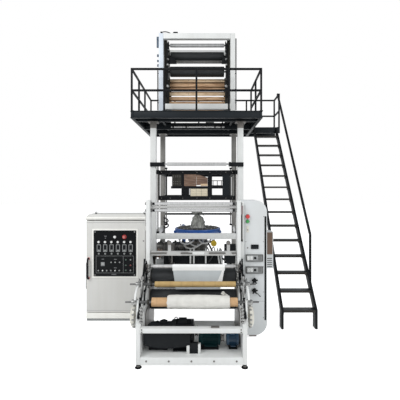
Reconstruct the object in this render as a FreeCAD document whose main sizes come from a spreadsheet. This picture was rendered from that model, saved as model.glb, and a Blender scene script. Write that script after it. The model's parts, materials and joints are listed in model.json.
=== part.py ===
import FreeCAD, Part
import math
import os
import re
import Sketcher

# Blown film extrusion machine: tower with haul-off, stair, winder, control cabinet and extruder.
# X runs to the right, Y away from the operator, Z up. The origin is on the floor at the tower's centre.

# Driving dimensions, in millimetres

SIZES = {
    # Tower
    "post_width": 125,
    "post_x": 965,
    "post_y": 820,
    "foot_width": 230,
    "plate_thick": 20,
    "cap_width": 220,
    "deck_top": 4040,
    "deck_thick": 6,
    "channel_depth": 150,
    "beam_top": 1405,
    "beam_depth": 125,
    "beam_thick": 80,
    "back_bar_z": 1710,
    "back_bar": 50,
    # Platform with its film opening, landing and railings
    "platform_half": 1385,
    "platform_front": -1220,
    "platform_back": 1300,
    "channel_flange": 60,
    "opening_half": 660,
    "opening_front": -740,
    "opening_back": 80,
    "landing_front": 650,
    "tube": 40,
    "rail_height": 900,
    "mid_height": 450,
    "landing_over": 80,
    # Stair
    "stringer_thick": 40,
    "stringer_depth": 210,
    "tread_count": 14,
    "tread_depth": 150,
    "tread_thick": 30,
    "first_rise": 323,
    "handrail_low": 640,
    "stair_gap": 95,
    "stair_width": 620,
    "last_tread_gap": 150,
    "stair_run": 2970,
    "handrail_start": 400,
    "handrail_rise": 920,
    # Haul-off on the platform
    "nip_half": 845,
    "nip_front": -860,
    "nip_back": 150,
    "nip_post": 100,
    "nip_beam": 120,
    "side_plate_thick": 60,
    "shaft_radius": 18,
    "end_gap": 0.3,
    "nip_radius": 95,
    "nip_gap": 1,
    "haul_radius": 42,
    "draw_radius": 115,
    "nip_rise": 1800,
    "plate_lift": 160,
    "plate_drop": 40,
    "roller_side_gap": 65,
    "nip_drop": 353,
    "haul_drop": 140,
    "draw_drop": 747,
    # Collapsing boards: two leaning ladders of wooden slats
    "board_top_gap": 60,
    "board_low_gap": 300,
    "board_rail": 50,
    "slat_count": 7,
    "slat_height": 80,
    "slat_thick": 25,
    "haul_motor_x": 200,
    "haul_motor_radius": 90,
    "haul_motor_length": 330,
    "haul_gear": 210,
    "board_lift": 140,
    "board_length": 800,
    # Bubble cage on its lifting screws
    "cage_low": 2140,
    "cage_bar": 40,
    "cage_rail": 90,
    "nut_half": 27,
    "nut_high": 90,
    "screw_radius": 16,
    "screw_clear": 0.3,
    "bracket_thick": 40,
    "panel_left": 573,
    "panel_width": 158,
    "upright_left": -350,
    "upright_left_width": 60,
    "upright_right": 240,
    "upright_right_width": 100,
    "board_left": -290,
    "mid_rail_left": -585,
    "mid_rail_lift": 170,
    "mid_rail": 55,
    "screen_left": -146,
    "screen_thick": 12,
    "gear_case_left": -562,
    "gear_case_deep": 90,
    "board_depth": 25,
    "arm_length": 330,
    "cage_side_gap": 22.5,
    "cage_end_gap": 17.5,
    "cage_height": 670,
    "board_width": 275,
    "screw_gap": 32.5,
    "screw_inset": 20,
    "screw_over": 120,
    # Guide roller on the tower's front
    "tower_roller_radius": 34,
    "tower_roller_z": 2930,
    "roller_bracket_x": 700,
    "roller_bracket_depth": 90,
    "tower_roller_out": 107.5,
    "tower_roller_gap": 60,
    # Die, air ring and the bag tied over the die
    "die_radius": 230,
    "ring_radius": 560,
    "ring_inner": 175,
    "ring_bore": 130,
    "ring_step": 35,
    "bag_neck": 60,
    "stand_high": 140,
    "die_height": 525,
    "ring_height": 155,
    "bag_seat": 15,
    "bag_height": 400,
    # Extruder, laid out to the left behind the control cabinet
    "base_right": 300,
    "base_half": 260,
    "base_high": 620,
    "barrel_radius": 110,
    "gearbox_half": 190,
    "motor_radius": 150,
    "hopper_half": 210,
    "throat_half": 60,
    "stand_half": 210,
    "feed_length": 260,
    "barrel_reach": 685,
    "drive_length": 530,
    "gearbox_length": 500,
    "gearbox_height": 610,
    "barrel_lift": 190,
    "hopper_height": 630,
    # Air blower behind the tower, with its duct to the air ring
    "blower_x": -420,
    "blower_y": 1180,
    "blower_half": 190,
    "blower_high": 560,
    "duct_radius": 55,
    "duct_entry": 60,
    # Winder in front of the tower
    "winder_half": 742,
    "winder_back": -2560,
    "side_thick": 60,
    "foot_high": 57,
    "winder_beam": 100,
    "upper_beam": 62,
    "upper_beam_low": 476,
    "beam_depth_y": 90,
    "side_top": 2210,
    "side_shoulder": 690,
    "leveller_radius": 22,
    "film_roller_radius": 30,
    "film_roller_z": 1190,
    "bearing_room": 70,
    "web_bar_inset": 420,
    "web_bar_deep": 50,
    "web_bar_low": 1342,
    "web_bar_high": 70,
    "finger_left": -379,
    "finger_right": 547,
    "finger_width": 50,
    "finger_thick": 20,
    "finger_rise": 148,
    "top_roller_radius": 24,
    "top_roller_step": 53,
    "housing_low": 60,
    "foot_block": 120,
    "drum_radius": 150,
    "upper_drum_z": 985,
    "lower_drum_z": 660,
    "winder_length": 1230,
    "column_inset": 230,
    "column_depth": 220,
    "side_back_rise": 300,
    "column_root_rise": 700,
    "side_step_rise": 220,
    "side_slope_run": 420,
    "film_roller_out": 30,
    "top_roller_drop": 55,
    "upper_drum_inset": 300,
    "lower_drum_inset": 400,
    "web_side_gap": 62,
    "drum_side_gap": 17,
    # Winding shafts on swing arms outside the side frames
    "arm_thick": 25,
    "arm_width": 70,
    "core_half": 600,
    "core_shift": 36,
    "core_radius": 42,
    "lower_core_radius": 61,
    "roll_radius": 97,
    "roll_left": -345,
    "upper_shaft_z": 973,
    "lower_shaft_z": 807,
    "wind_shaft_radius": 20,
    "bearing_clear": 0.05,
    "arm_root_z": 560,
    "cover_radius": 150,
    "cover_thick": 70,
    "cover_hub": 25,
    "cover_z": 600,
    "shaft_reach": 193,
    "upper_shaft_inset": 540,
    "lower_shaft_inset": 250,
    "roll_width": 870,
    "cover_gap": 58,
    "cover_inset": 290,
    # Drive motors on the winder's base
    "motor_foot": 60,
    "black_motor_radius": 165,
    "black_motor_z": 385,
    "black_gear_radius": 125,
    "green_motor_radius": 95,
    "green_motor_z": 290,
    "blue_motor_radius": 85,
    "blue_motor_z": 275,
    "motor_inset": 290,
    "black_motor_length": 320,
    "motor_left_gap": 42,
    "motor_right_gap": 22,
    "black_green_gap": 60,
    "green_blue_gap": 80,
    "green_motor_length": 310,
    "blue_motor_length": 180,
    # Drive housing on the right of the winder
    "housing_high": 2210,
    "housing_round": 190,
    "drive_box_deep": 240,
    "drive_box_low": 1050,
    "gauge_thick": 25,
    "gauge_height": 110,
    "gauge_low": 1050,
    "gauge_step": 190,
    "housing_width": 428,
    "housing_inset": 340,
    "housing_depth": 300,
    "drive_box_inset": 198,
    "drive_box_width": 390,
    "drive_box_height": 620,
    "gauge_inset": 88,
    "gauge_width": 270,
    # Film sheet between the film roller and the drum
    "sheet_thick": 8,
    "sheet_left": -330,
    "sheet_width": 800,
    "sheet_above": 25,
    "sheet_length": 240,
    # Control cabinet
    "cabinet_right": -900,
    "cabinet_front": -2190,
    "cabinet_depth": 500,
    "plinth_high": 120,
    "cabinet_top": 1850,
    "sheet_wall": 25,
    "door_thick": 25,
    "door_gap": 3,
    "hinge_high": 90,
    "hinge_out": 15,
    "hinge_deep": 60,
    "roof_over": 12,
    "roof_slope": 45,
    "panel_thick": 18,
    "handle_low": 760,
    "handle_out": 70,
    "handle_bar": 24,
    "cabinet_width": 1070,
    "roof_rise": 80,
    "door_lift": 40,
    "door_drop": 35,
    "panel_left_margin": 140,
    "panel_right_margin": 165,
    "panel_drop": 210,
    "panel_height": 825,
    "handle_inset": 45,
    "handle_length": 390,
}

# Places and sizes that follow from the driving dimensions

LINKED = {
    # Tower and platform
    "landing_right": "stair_right+landing_over",
    "stair_left": "platform_half+stair_gap",
    "stair_right": "stair_left+stair_width",
    "last_tread_y": "landing_front-last_tread_gap",
    "first_tread_y": "last_tread_y-stair_run",
    "handrail_y": "first_tread_y+handrail_start",
    "handrail_high": "handrail_low+handrail_rise",
    # Haul-off
    "nip_top": "deck_top+nip_rise",
    "nip_plate_low": "deck_top+plate_lift",
    "nip_plate_high": "nip_top-plate_drop",
    "plate_gap_x": "nip_half-nip_post-side_plate_thick",
    "roller_half": "plate_gap_x-roller_side_gap",
    "nip_height": "nip_top-nip_drop",
    "haul_height": "nip_top-haul_drop",
    "draw_height": "nip_top-draw_drop",
    "board_low": "deck_top+board_lift",
    "board_high": "board_low+board_length",
    # Bubble cage
    "cage_half": "post_x-post_width/2-cage_side_gap",
    "cage_back": "post_y-post_width/2-cage_end_gap",
    "cage_front": "-cage_back",
    "cage_high": "cage_low+cage_height",
    "board_right": "board_left+board_width",
    "screw_x": "post_x-post_width/2-screw_gap",
    "screw_y": "post_y-screw_inset",
    "screw_low": "beam_top",
    "screw_high": "cage_high+screw_over",
    # Guide roller on the tower's front
    "tower_roller_y": "-(post_y+post_width/2+tower_roller_out)",
    "tower_roller_half": "roller_bracket_x-tower_roller_gap",
    # Die and extruder
    "barrel_left": "-(post_x+barrel_reach)",
    "gearbox_left": "barrel_left-gearbox_length",
    "base_left": "gearbox_left-drive_length",
    "gearbox_high": "base_high+gearbox_height",
    "die_low": "base_high+stand_high",
    "die_high": "die_low+die_height",
    "barrel_z": "die_low+barrel_lift",
    "hopper_high": "barrel_z+barrel_radius+tube+hopper_height",
    "ring_low": "die_high",
    "ring_high": "ring_low+ring_height",
    "bag_radius": "ring_inner+bag_seat",
    "bag_top": "ring_high+bag_height",
    # Winder
    "winder_front": "winder_back-winder_length",
    "column_back": "winder_back-column_inset",
    "column_front": "column_back-column_depth",
    "film_roller_y": "column_front-film_roller_out",
    "top_roller_y": "(column_front+column_back)/2",
    "top_roller_high": "side_top-top_roller_drop",
    "upper_drum_y": "winder_back-upper_drum_inset",
    "lower_drum_y": "winder_back-lower_drum_inset",
    "side_inner": "winder_half-side_thick",
    "web_half": "side_inner-web_side_gap",
    "drum_half": "side_inner-drum_side_gap",
    "shaft_half": "winder_half+shaft_reach",
    "upper_shaft_y": "winder_front+upper_shaft_inset",
    "lower_shaft_y": "winder_front+lower_shaft_inset",
    "roll_right": "roll_left+roll_width",
    "cover_out": "winder_half+cover_gap",
    "cover_y": "winder_front+cover_inset",
    "motor_row_y": "winder_front+motor_inset",
    "blue_motor_right": "side_inner-motor_right_gap",
    "blue_motor_left": "blue_motor_right-blue_motor_length",
    "green_motor_right": "blue_motor_left-green_blue_gap",
    "green_motor_left": "green_motor_right-green_motor_length",
    "black_motor_right": "green_motor_left-black_green_gap",
    "black_motor_left": "black_motor_right-black_motor_length",
    "black_gear_left": "-side_inner+motor_left_gap",
    "housing_left": "winder_half",
    "housing_right": "housing_left+housing_width",
    "housing_front": "winder_back-housing_inset",
    "housing_back": "housing_front+housing_depth",
    "drive_box_left": "housing_left+drive_box_inset",
    "drive_box_right": "drive_box_left+drive_box_width",
    "drive_box_high": "drive_box_low+drive_box_height",
    "gauge_left": "housing_left+gauge_inset",
    "gauge_right": "gauge_left+gauge_width",
    "sheet_right": "sheet_left+sheet_width",
    "sheet_high": "film_roller_z+sheet_above",
    "sheet_low": "sheet_high-sheet_length",
    # Control cabinet
    "cabinet_left": "cabinet_right-cabinet_width",
    "roof_high": "cabinet_top+roof_rise",
    "door_low": "plinth_high+door_lift",
    "door_high": "cabinet_top-door_drop",
    "panel_x_left": "cabinet_left+panel_left_margin",
    "panel_x_right": "cabinet_right-panel_right_margin",
    "panel_high": "cabinet_top-panel_drop",
    "panel_low": "panel_high-panel_height",
    "handle_x": "cabinet_left+handle_inset",
    "handle_high": "handle_low+handle_length",
}

doc = FreeCAD.newDocument("film_line")
sheet = doc.addObject("Spreadsheet::Sheet", "Sizes")
for row, (name, amount) in enumerate(SIZES.items(), 1):
    sheet.set("A%d" % row, str(amount))
    sheet.setAlias("A%d" % row, name)
doc.recompute()


def bound(text):
    """Turn size names in a formula into references to the sheet."""
    def swap(match):
        word = match.group()
        if word in LINKED:
            return "(%s)" % bound(LINKED[word])
        return "Sizes." + word if word in SIZES else word
    return re.sub(r"[a-z][a-z0-9_]*", swap, str(text))


def worth(text):
    """Work out a formula's present amount from the sheet."""
    return parse_sum(re.findall(r"[a-z][a-z0-9_]*|\d+\.?\d*|[-+*/()]", str(text)))


def parse_sum(tokens):
    total = parse_product(tokens)
    while tokens and tokens[0] in "+-":
        sign = tokens.pop(0)
        term = parse_product(tokens)
        total = total + term if sign == "+" else total - term
    return total


def parse_product(tokens):
    result = parse_atom(tokens)
    while tokens and tokens[0] in "*/":
        sign = tokens.pop(0)
        factor = parse_atom(tokens)
        result = result * factor if sign == "*" else result / factor
    return result


def parse_atom(tokens):
    token = tokens.pop(0)
    if token == "-":
        return -parse_atom(tokens)
    if token == "(":
        inner = parse_sum(tokens)
        tokens.pop(0)
        return inner
    if token in LINKED:
        return worth(LINKED[token])
    return float(sheet.get(token)) if token in SIZES else float(token)


TURNS = {
    "X": FreeCAD.Rotation(FreeCAD.Vector(0, 1, 0), 90),
    "Y": FreeCAD.Rotation(FreeCAD.Vector(1, 0, 0), -90),
    "Z": FreeCAD.Rotation(),
}
nodes = []


def place(item, spot, turn=None):
    """Bind an object's place to three formulas."""
    if turn is not None:
        item.Placement = FreeCAD.Placement(FreeCAD.Vector(), turn)
    for letter, formula in zip("xyz", spot):
        item.setExpression("Placement.Base." + letter, bound(formula))
    return item


def box(low, high):
    """A block between two corners, each given as three formulas."""
    item = doc.addObject("Part::Box", "block")
    for side, near, far in zip(("Length", "Width", "Height"), low, high):
        item.setExpression(side, bound("(%s)-(%s)" % (far, near)))
    return place(item, low)


def rod(axis, spot, radius, length):
    """A round bar that starts at a spot and runs along an axis."""
    item = doc.addObject("Part::Cylinder", "bar")
    item.setExpression("Radius", bound(radius))
    item.setExpression("Height", bound(length))
    return place(item, spot, TURNS[axis])


def fused(*items):
    item = doc.addObject("Part::MultiFuse", "joined")
    item.Shapes = list(items)
    return item


def cut(base, tool):
    item = doc.addObject("Part::Cut", "cut")
    item.Base = base
    item.Tool = tool
    return item


def group(*items):
    """Like pieces that don't touch each other, as separate solids."""
    item = doc.addObject("Part::Compound", "set")
    item.Links = list(items)
    return item


def node(name, item):
    """Name a finished sub-part."""
    item.Label = name
    nodes.append(item)
    return item


def hold(sketch, index, kind, formula, amount):
    """Bind one distance of a sketch point from the origin to a formula."""
    number = sketch.addConstraint(Sketcher.Constraint(kind, -1, 1, index, 1, amount))
    sketch.setExpression("Constraints[%d]" % number, bound(formula))


def profile(plane, points, start, length, fillet=None):
    """A plate padded from a drawn outline: points are pairs of formulas on the plane."""
    body = doc.addObject("PartDesign::Body", "plate")
    sketch = body.newObject("Sketcher::SketchObject", "outline")
    role = {"XY": "XY_Plane", "XZ": "XZ_Plane", "YZ": "YZ_Plane"}[plane]
    base = [feature for feature in body.Origin.OriginFeatures if feature.Role == role][0]
    sketch.AttachmentSupport = [(base, "")]
    sketch.MapMode = "FlatFace"
    spots = [(worth(across), worth(up)) for across, up in points]
    for index, spot in enumerate(spots):
        following = spots[(index + 1) % len(spots)]
        sketch.addGeometry(Part.LineSegment(FreeCAD.Vector(*spot, 0), FreeCAD.Vector(*following, 0)))
    for index in range(len(spots)):
        sketch.addConstraint(Sketcher.Constraint("Coincident", index, 2, (index + 1) % len(spots), 1))
    for index, (across, up) in enumerate(points):
        hold(sketch, index, "DistanceX", across, spots[index][0])
        hold(sketch, index, "DistanceY", up, spots[index][1])
    pad = body.newObject("PartDesign::Pad", "pad")
    pad.Profile = sketch
    pad.setExpression("Length", bound(length))
    if plane == "XZ":
        pad.Reversed = True
    body.Tip = pad
    shift = {"XY": ("0", "0", start), "XZ": ("0", start, "0"), "YZ": (start, "0", "0")}[plane]
    place(body, shift)
    if fillet:
        doc.recompute()
        chosen, radius = fillet
        edges = ["Edge%d" % (number + 1) for number, edge in enumerate(pad.Shape.Edges) if chosen(edge)]
        rounding = body.newObject("PartDesign::Fillet", "rounding")
        rounding.Base = (pad, edges)
        rounding.setExpression("Radius", bound(radius))
        body.Tip = rounding
    return body


def turned(points, spot, axis="Z"):
    """A body of revolution: radius and height formulas round Z, then laid along an axis."""
    body = doc.addObject("PartDesign::Body", "turned")
    sketch = body.newObject("Sketcher::SketchObject", "section")
    base = [feature for feature in body.Origin.OriginFeatures if feature.Role == "XZ_Plane"][0]
    sketch.AttachmentSupport = [(base, "")]
    sketch.MapMode = "FlatFace"
    spots = [(worth(radius), worth(height)) for radius, height in points]
    for index, point in enumerate(spots):
        following = spots[(index + 1) % len(spots)]
        sketch.addGeometry(Part.LineSegment(FreeCAD.Vector(*point, 0), FreeCAD.Vector(*following, 0)))
    for index in range(len(spots)):
        sketch.addConstraint(Sketcher.Constraint("Coincident", index, 2, (index + 1) % len(spots), 1))
    for index, (radius, height) in enumerate(points):
        hold(sketch, index, "DistanceX", radius, spots[index][0])
        hold(sketch, index, "DistanceY", height, spots[index][1])
    spin = body.newObject("PartDesign::Revolution", "spin")
    spin.Profile = sketch
    spin.ReferenceAxis = (sketch, ["V_Axis"])
    spin.Angle = 360
    body.Tip = spin
    return place(body, spot, TURNS[axis])


# Tower

CHANNEL_TOP = "deck_top-deck_thick"
CHANNEL_BOTTOM = "deck_top-deck_thick-channel_depth"


def tower_post(sign_x, sign_y):
    x = "(%spost_x)" % sign_x
    y = "(%spost_y)" % sign_y

    def square(width, low, high):
        half = "%s/2" % width
        return box((x + "-" + half, y + "-" + half, low), (x + "+" + half, y + "+" + half, high))
    shaft = square("post_width", "plate_thick", CHANNEL_BOTTOM + "-plate_thick")
    foot = square("foot_width", "0", "plate_thick")
    cap = square("cap_width", CHANNEL_BOTTOM + "-plate_thick", CHANNEL_BOTTOM)
    return fused(shaft, foot, cap)


node("tower_posts", group(*[tower_post(sx, sy) for sx in ("-", "") for sy in ("-", "")]))

POST_INNER_X = "post_x-post_width/2"
POST_INNER_Y = "post_y-post_width/2"


def tower_cross_beam(y, top):
    low = ("-(%s)" % POST_INNER_X, y + "-beam_thick/2", top + "-beam_depth")
    return box(low, (POST_INNER_X, y + "+beam_thick/2", top))


def tower_side_beam(sign, top):
    x = "(%spost_x)" % sign
    low = (x + "-beam_thick/2", "-(%s)" % POST_INNER_Y, top + "-beam_depth")
    return box(low, (x + "+beam_thick/2", POST_INNER_Y, top))


back_bar = box(
    ("-(%s)" % POST_INNER_X, "post_y+post_width/2-back_bar", "back_bar_z-back_bar/2"),
    (POST_INNER_X, "post_y+post_width/2", "back_bar_z+back_bar/2"))
tower_beams = [tower_cross_beam("-post_y", "beam_top"), back_bar]
tower_beams += [tower_side_beam(sign, "beam_top") for sign in ("-", "")]
node("tower_beams", group(*tower_beams))

# Platform with its film opening, landing and railings


side_channels = [
    box((edge, "platform_front", CHANNEL_BOTTOM), (edge + "+channel_flange", "platform_back", CHANNEL_TOP))
    for edge in ("-platform_half", "platform_half-channel_flange")
]
node("platform_side_channels", group(*side_channels))

CHANNEL_INNER = "platform_half-channel_flange"
joists = [
    "platform_front", "-post_y-channel_flange/2", "opening_back+channel_flange/2",
    "post_y-channel_flange/2", "platform_back-channel_flange",
]
cross_channels = [
    box(("-(%s)" % CHANNEL_INNER, y, CHANNEL_BOTTOM), (CHANNEL_INNER, y + "+channel_flange", CHANNEL_TOP))
    for y in joists
]
landing_channels = [
    box(("platform_half", y, CHANNEL_BOTTOM), ("landing_right", y + "+channel_flange", CHANNEL_TOP))
    for y in ("landing_front", "platform_back-channel_flange")
]
node("platform_cross_channels", group(*(cross_channels + landing_channels)))

deck_sides = [
    box(("-platform_half", "platform_front", CHANNEL_TOP), ("-opening_half", "platform_back", "deck_top")),
    box(("opening_half", "platform_front", CHANNEL_TOP), ("platform_half", "platform_back", "deck_top")),
]
node("platform_deck_sides", group(*deck_sides))
deck_ends = [
    box(("-opening_half", "platform_front", CHANNEL_TOP), ("opening_half", "opening_front", "deck_top")),
    box(("-opening_half", "opening_back", CHANNEL_TOP), ("opening_half", "platform_back", "deck_top")),
    box(("platform_half", "landing_front", CHANNEL_TOP), ("landing_right", "platform_back", "deck_top")),
]
node("platform_deck_ends", group(*deck_ends))

RAIL_X = "(platform_half-tube/2)"
RAIL_FRONT = "(platform_front+tube/2)"
RAIL_BACK = "(platform_back-tube/2)"
LANDING_X = "(landing_right-tube/2)"
LANDING_Y = "(landing_front+tube/2)"
BAY_X = "(%s/2)" % RAIL_X
GATE_Y = "(landing_front-tube*8)"
SIDE_MIDDLE = "((%s+%s)/2)" % (RAIL_FRONT, GATE_Y)
row_x = ["-" + RAIL_X, "-" + BAY_X, "0", BAY_X, RAIL_X]
left_y = [RAIL_FRONT, SIDE_MIDDLE, GATE_Y, RAIL_BACK]
right_y = left_y[:3]


def rail_post(x, y):
    low = (x + "-tube/2", y + "-tube/2", "deck_top")
    return box(low, (x + "+tube/2", y + "+tube/2", "deck_top+rail_height"))


def rails_across(y, posts):
    made = []
    for left, right in zip(posts, posts[1:]):
        for top in ("mid_height", "rail_height"):
            low = (left + "+tube/2", y + "-tube/2", "deck_top+%s-tube" % top)
            made.append(box(low, (right + "-tube/2", y + "+tube/2", "deck_top+" + top)))
    return made


def rails_along(x, posts):
    made = []
    for near, far in zip(posts, posts[1:]):
        for top in ("mid_height", "rail_height"):
            low = (x + "-tube/2", near + "+tube/2", "deck_top+%s-tube" % top)
            made.append(box(low, (x + "+tube/2", far + "-tube/2", "deck_top+" + top)))
    return made


rail_posts = [rail_post(x, RAIL_FRONT) for x in row_x]
rail_posts += [rail_post(x, RAIL_BACK) for x in row_x + [LANDING_X]]
rail_posts += [rail_post("-" + RAIL_X, y) for y in left_y[1:3]]
rail_posts += [rail_post(RAIL_X, y) for y in right_y[1:]]
rail_posts += [rail_post(LANDING_X, LANDING_Y)]
node("railing_posts", group(*rail_posts))
across_rails = rails_across(RAIL_FRONT, row_x) + rails_across(RAIL_BACK, row_x + [LANDING_X])
node("railing_cross_rails", group(*across_rails))
along_rails = rails_along("-" + RAIL_X, left_y) + rails_along(RAIL_X, right_y)
along_rails += rails_along(LANDING_X, [LANDING_Y, RAIL_BACK])
node("railing_side_rails", group(*along_rails))

# Stair

GOING = "((last_tread_y-first_tread_y)/(tread_count-1))"
RISE = "((%s-first_rise)/tread_count)" % "deck_top"
STAIR_SLOPE = "(%s/%s)" % (RISE, GOING)


def stair_line(y, lift):
    """Height of the line through the treads at a Y, plus a lift."""
    return "first_rise-tread_thick/2+(%s-first_tread_y)*%s+%s" % (y, STAIR_SLOPE, lift)


STRINGER_FOOT = "(first_tread_y-tread_depth/2)"
STRINGER_HEEL = STRINGER_FOOT + "+tread_depth"
STRINGER_TOP = "landing_front"
FOOT_HEIGHT = "(%s)" % stair_line(STRINGER_FOOT, "stringer_depth/2")
TOP_LIFT = "(%s)" % stair_line(STRINGER_TOP, "stringer_depth/2")
stringer_outline = [
    (STRINGER_FOOT, "0"),
    (STRINGER_HEEL, "0"),
    (STRINGER_HEEL, "(%s)" % stair_line(STRINGER_HEEL, "-stringer_depth/2")),
    (STRINGER_TOP, "(%s)" % stair_line(STRINGER_TOP, "-stringer_depth/2")),
    (STRINGER_TOP, TOP_LIFT),
    (STRINGER_FOOT, FOOT_HEIGHT),
]
stringers = [
    profile("YZ", stringer_outline, x, "stringer_thick") for x in ("stair_left", "stair_right-stringer_thick")
]
node("stair_stringers", group(*stringers))

treads = []
for step in range(int(worth("tread_count"))):
    tread_y = "(first_tread_y+%d*%s)" % (step, GOING)
    tread_top = "(first_rise+%d*%s)" % (step, RISE)
    tread_low = ("stair_left+stringer_thick", tread_y + "-tread_depth/2", tread_top + "-tread_thick")
    tread_high = ("stair_right-stringer_thick", tread_y + "+tread_depth/2", tread_top)
    treads.append(box(tread_low, tread_high))
node("stair_treads", group(*treads))

HANDRAIL_X = "stair_right"
handrail_post = box(
    (HANDRAIL_X, "handrail_y-tube/2", "handrail_low"),
    (HANDRAIL_X + "+tube", "handrail_y+tube/2", "handrail_high"))
handrail_outline = [
    ("handrail_y-tube/2", "handrail_high"),
    ("handrail_y+tube", "handrail_high"),
    ("landing_front", "deck_top+rail_height-tube*2"),
    ("landing_front", "deck_top+rail_height"),
    ("landing_front-tube/4", "deck_top+rail_height"),
]
handrail_slope = profile("YZ", handrail_outline, HANDRAIL_X, "tube")
handrail_end = box(
    (HANDRAIL_X, "landing_front", "deck_top+rail_height-tube*2"),
    ("landing_right-tube", "landing_front+tube", "deck_top+rail_height"))
node("stair_handrail", fused(handrail_post, handrail_slope, handrail_end))

# Haul-off on the platform

NIP_CENTRE = "((nip_front+nip_back)/2)"
nip_post_y = ["nip_front", "nip_back-nip_post"]
nip_posts = [
    box((x, y, "deck_top"), (x + "+nip_post", y + "+nip_post", "nip_top"))
    for x in ("-nip_half", "nip_half-nip_post") for y in nip_post_y
]
node("nip_frame_posts", group(*nip_posts))
NIP_INNER = "nip_half-nip_post"
nip_beams = []
for beam_y in nip_post_y:
    for beam_z in ("nip_top-nip_beam", "deck_top+nip_beam"):
        beam_low = ("-(%s)" % NIP_INNER, beam_y, beam_z)
        nip_beams.append(box(beam_low, (NIP_INNER, beam_y + "+nip_post", beam_z + "+nip_beam")))
for beam_x in ("-nip_half", "nip_half-nip_post"):
    for beam_z in ("nip_top-nip_beam", "deck_top+nip_beam"):
        beam_low = (beam_x, "nip_front+nip_post", beam_z)
        nip_beams.append(box(beam_low, (beam_x + "+nip_post", "nip_back-nip_post", beam_z + "+nip_beam")))
node("nip_frame_beams", group(*nip_beams))


def nip_side_plate(x):
    low = (x, "nip_front+nip_post+tube", "nip_plate_low")
    return box(low, (x + "+side_plate_thick", "nip_back-nip_post-tube", "nip_plate_high"))


nip_plates = [nip_side_plate("-plate_gap_x-side_plate_thick"), nip_side_plate("plate_gap_x")]
node("nip_side_plates", group(*nip_plates))


def roller(y, z, radius, half, reach):
    """A roller along X with journals that reach a bearing on each side, less the end gap."""
    drum = rod("X", ("-(%s)" % half, y, z), radius, "2*(%s)" % half)
    shaft = rod("X", ("-(%s-end_gap)" % reach, y, z), "shaft_radius", "2*(%s-end_gap)" % reach)
    return fused(drum, shaft)


NIP_FRONT = NIP_CENTRE + "-nip_radius-nip_gap/2"
NIP_BEHIND = NIP_CENTRE + "+nip_radius+nip_gap/2"
WEB_Y = NIP_CENTRE + "-nip_radius*2"
node("nip_roller_rubber", roller(NIP_FRONT, "nip_height", "nip_radius", "roller_half", "plate_gap_x"))
node("nip_roller_steel", roller(NIP_BEHIND, "nip_height", "nip_radius", "roller_half", "plate_gap_x"))
node("draw_roller", roller(WEB_Y, "draw_height", "draw_radius", "roller_half", "plate_gap_x"))
node("haul_guide_roller", roller(WEB_Y, "haul_height", "haul_radius", "roller_half", "plate_gap_x"))

# Collapsing boards: two leaning ladders of wooden slats

BOARD_HALF = "plate_gap_x-board_rail"


def board_y(share, sign):
    """Distance of a board from the middle plane at a share of its height."""
    return "(%s%s(board_low_gap+(board_top_gap-board_low_gap)*%s))" % (NIP_CENTRE, sign, share)


def board_rails(sign):
    low_y, high_y = board_y("0", sign), board_y("1", sign)
    reach = "board_rail" if sign == "+" else "(-board_rail)"
    outline = [
        (low_y + "+" + reach, "board_low"), (high_y + "+" + reach, "board_high"),
        (high_y, "board_high"), (low_y, "board_low"),
    ]
    starts = ("-(%s)-board_rail" % BOARD_HALF, BOARD_HALF)
    return [profile("YZ", outline, start, "board_rail") for start in starts]


node("collapsing_rails", group(*(board_rails("-") + board_rails("+"))))


def board_slats(sign):
    made = []
    count = int(worth("slat_count"))
    for index in range(count):
        low_share = "(%d/(slat_count)+1/(slat_count*8))" % index
        low_z = "(board_low+(board_high-board_low)*%s)" % low_share
        high_share = "(%s+slat_height/(board_high-board_low))" % low_share
        low_y, high_y = board_y(low_share, sign), board_y(high_share, sign)
        reach = "slat_thick" if sign == "+" else "(-slat_thick)"
        outline = [
            (low_y + "+" + reach, low_z), (high_y + "+" + reach, low_z + "+slat_height"),
            (high_y, low_z + "+slat_height"), (low_y, low_z),
        ]
        made.append(profile("YZ", outline, "-(%s)" % BOARD_HALF, "2*(%s)" % BOARD_HALF))
    return made


node("collapsing_slats", group(*(board_slats("-") + board_slats("+"))))

haul_gearbox = box(
    ("haul_motor_x", "nip_back+tube", "deck_top"),
    ("haul_motor_x+haul_gear", "nip_back+tube+haul_gear", "deck_top+haul_gear*1.4"))
haul_motor = rod(
    "X", ("haul_motor_x-haul_motor_length", "nip_back+tube+haul_gear/2", "deck_top+haul_gear*0.9"),
    "haul_motor_radius", "haul_motor_length")
node("haul_motor", fused(haul_gearbox, haul_motor))

# Bubble cage on its lifting screws

CAGE_POST = "cage_half-cage_bar"
cage_posts = [
    box((x, y, "cage_low"), (x + "+cage_bar", y + "+cage_bar", "cage_high"))
    for x in ("-cage_half", CAGE_POST) for y in ("cage_front", "cage_back-cage_bar")
]
cage_bars = []
for bar_z in ("cage_low", "cage_high-cage_rail"):
    for bar_y in ("cage_front", "cage_back-cage_bar"):
        bar_low = ("-(%s)" % CAGE_POST, bar_y, bar_z)
        cage_bars.append(box(bar_low, (CAGE_POST, bar_y + "+cage_bar", bar_z + "+cage_rail")))
    for bar_x in ("-cage_half", CAGE_POST):
        bar_low = (bar_x, "cage_front+cage_bar", bar_z)
        cage_bars.append(box(bar_low, (bar_x + "+cage_bar", "cage_back-cage_bar", bar_z + "+cage_rail")))
BAR_TOP = "cage_low+cage_rail"
BAR_UNDER = "cage_high-cage_rail"
MID_LOW = BAR_TOP + "+mid_rail_lift"
MID_TOP = MID_LOW + "+mid_rail"
mid_spans = [
    ("mid_rail_left", "upright_left"), ("upright_left+upright_left_width", "upright_right"),
    ("upright_right+upright_right_width", "panel_left"),
]
cage_bars += [
    box((left, "cage_front", MID_LOW), (right, "cage_front+cage_bar", MID_TOP)) for left, right in mid_spans
]
node("cage_bars", group(*cage_bars))



def cage_upright(left, right, depth):
    return box((left, "cage_front", BAR_TOP), (right, "cage_front+" + depth, BAR_UNDER))


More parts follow.
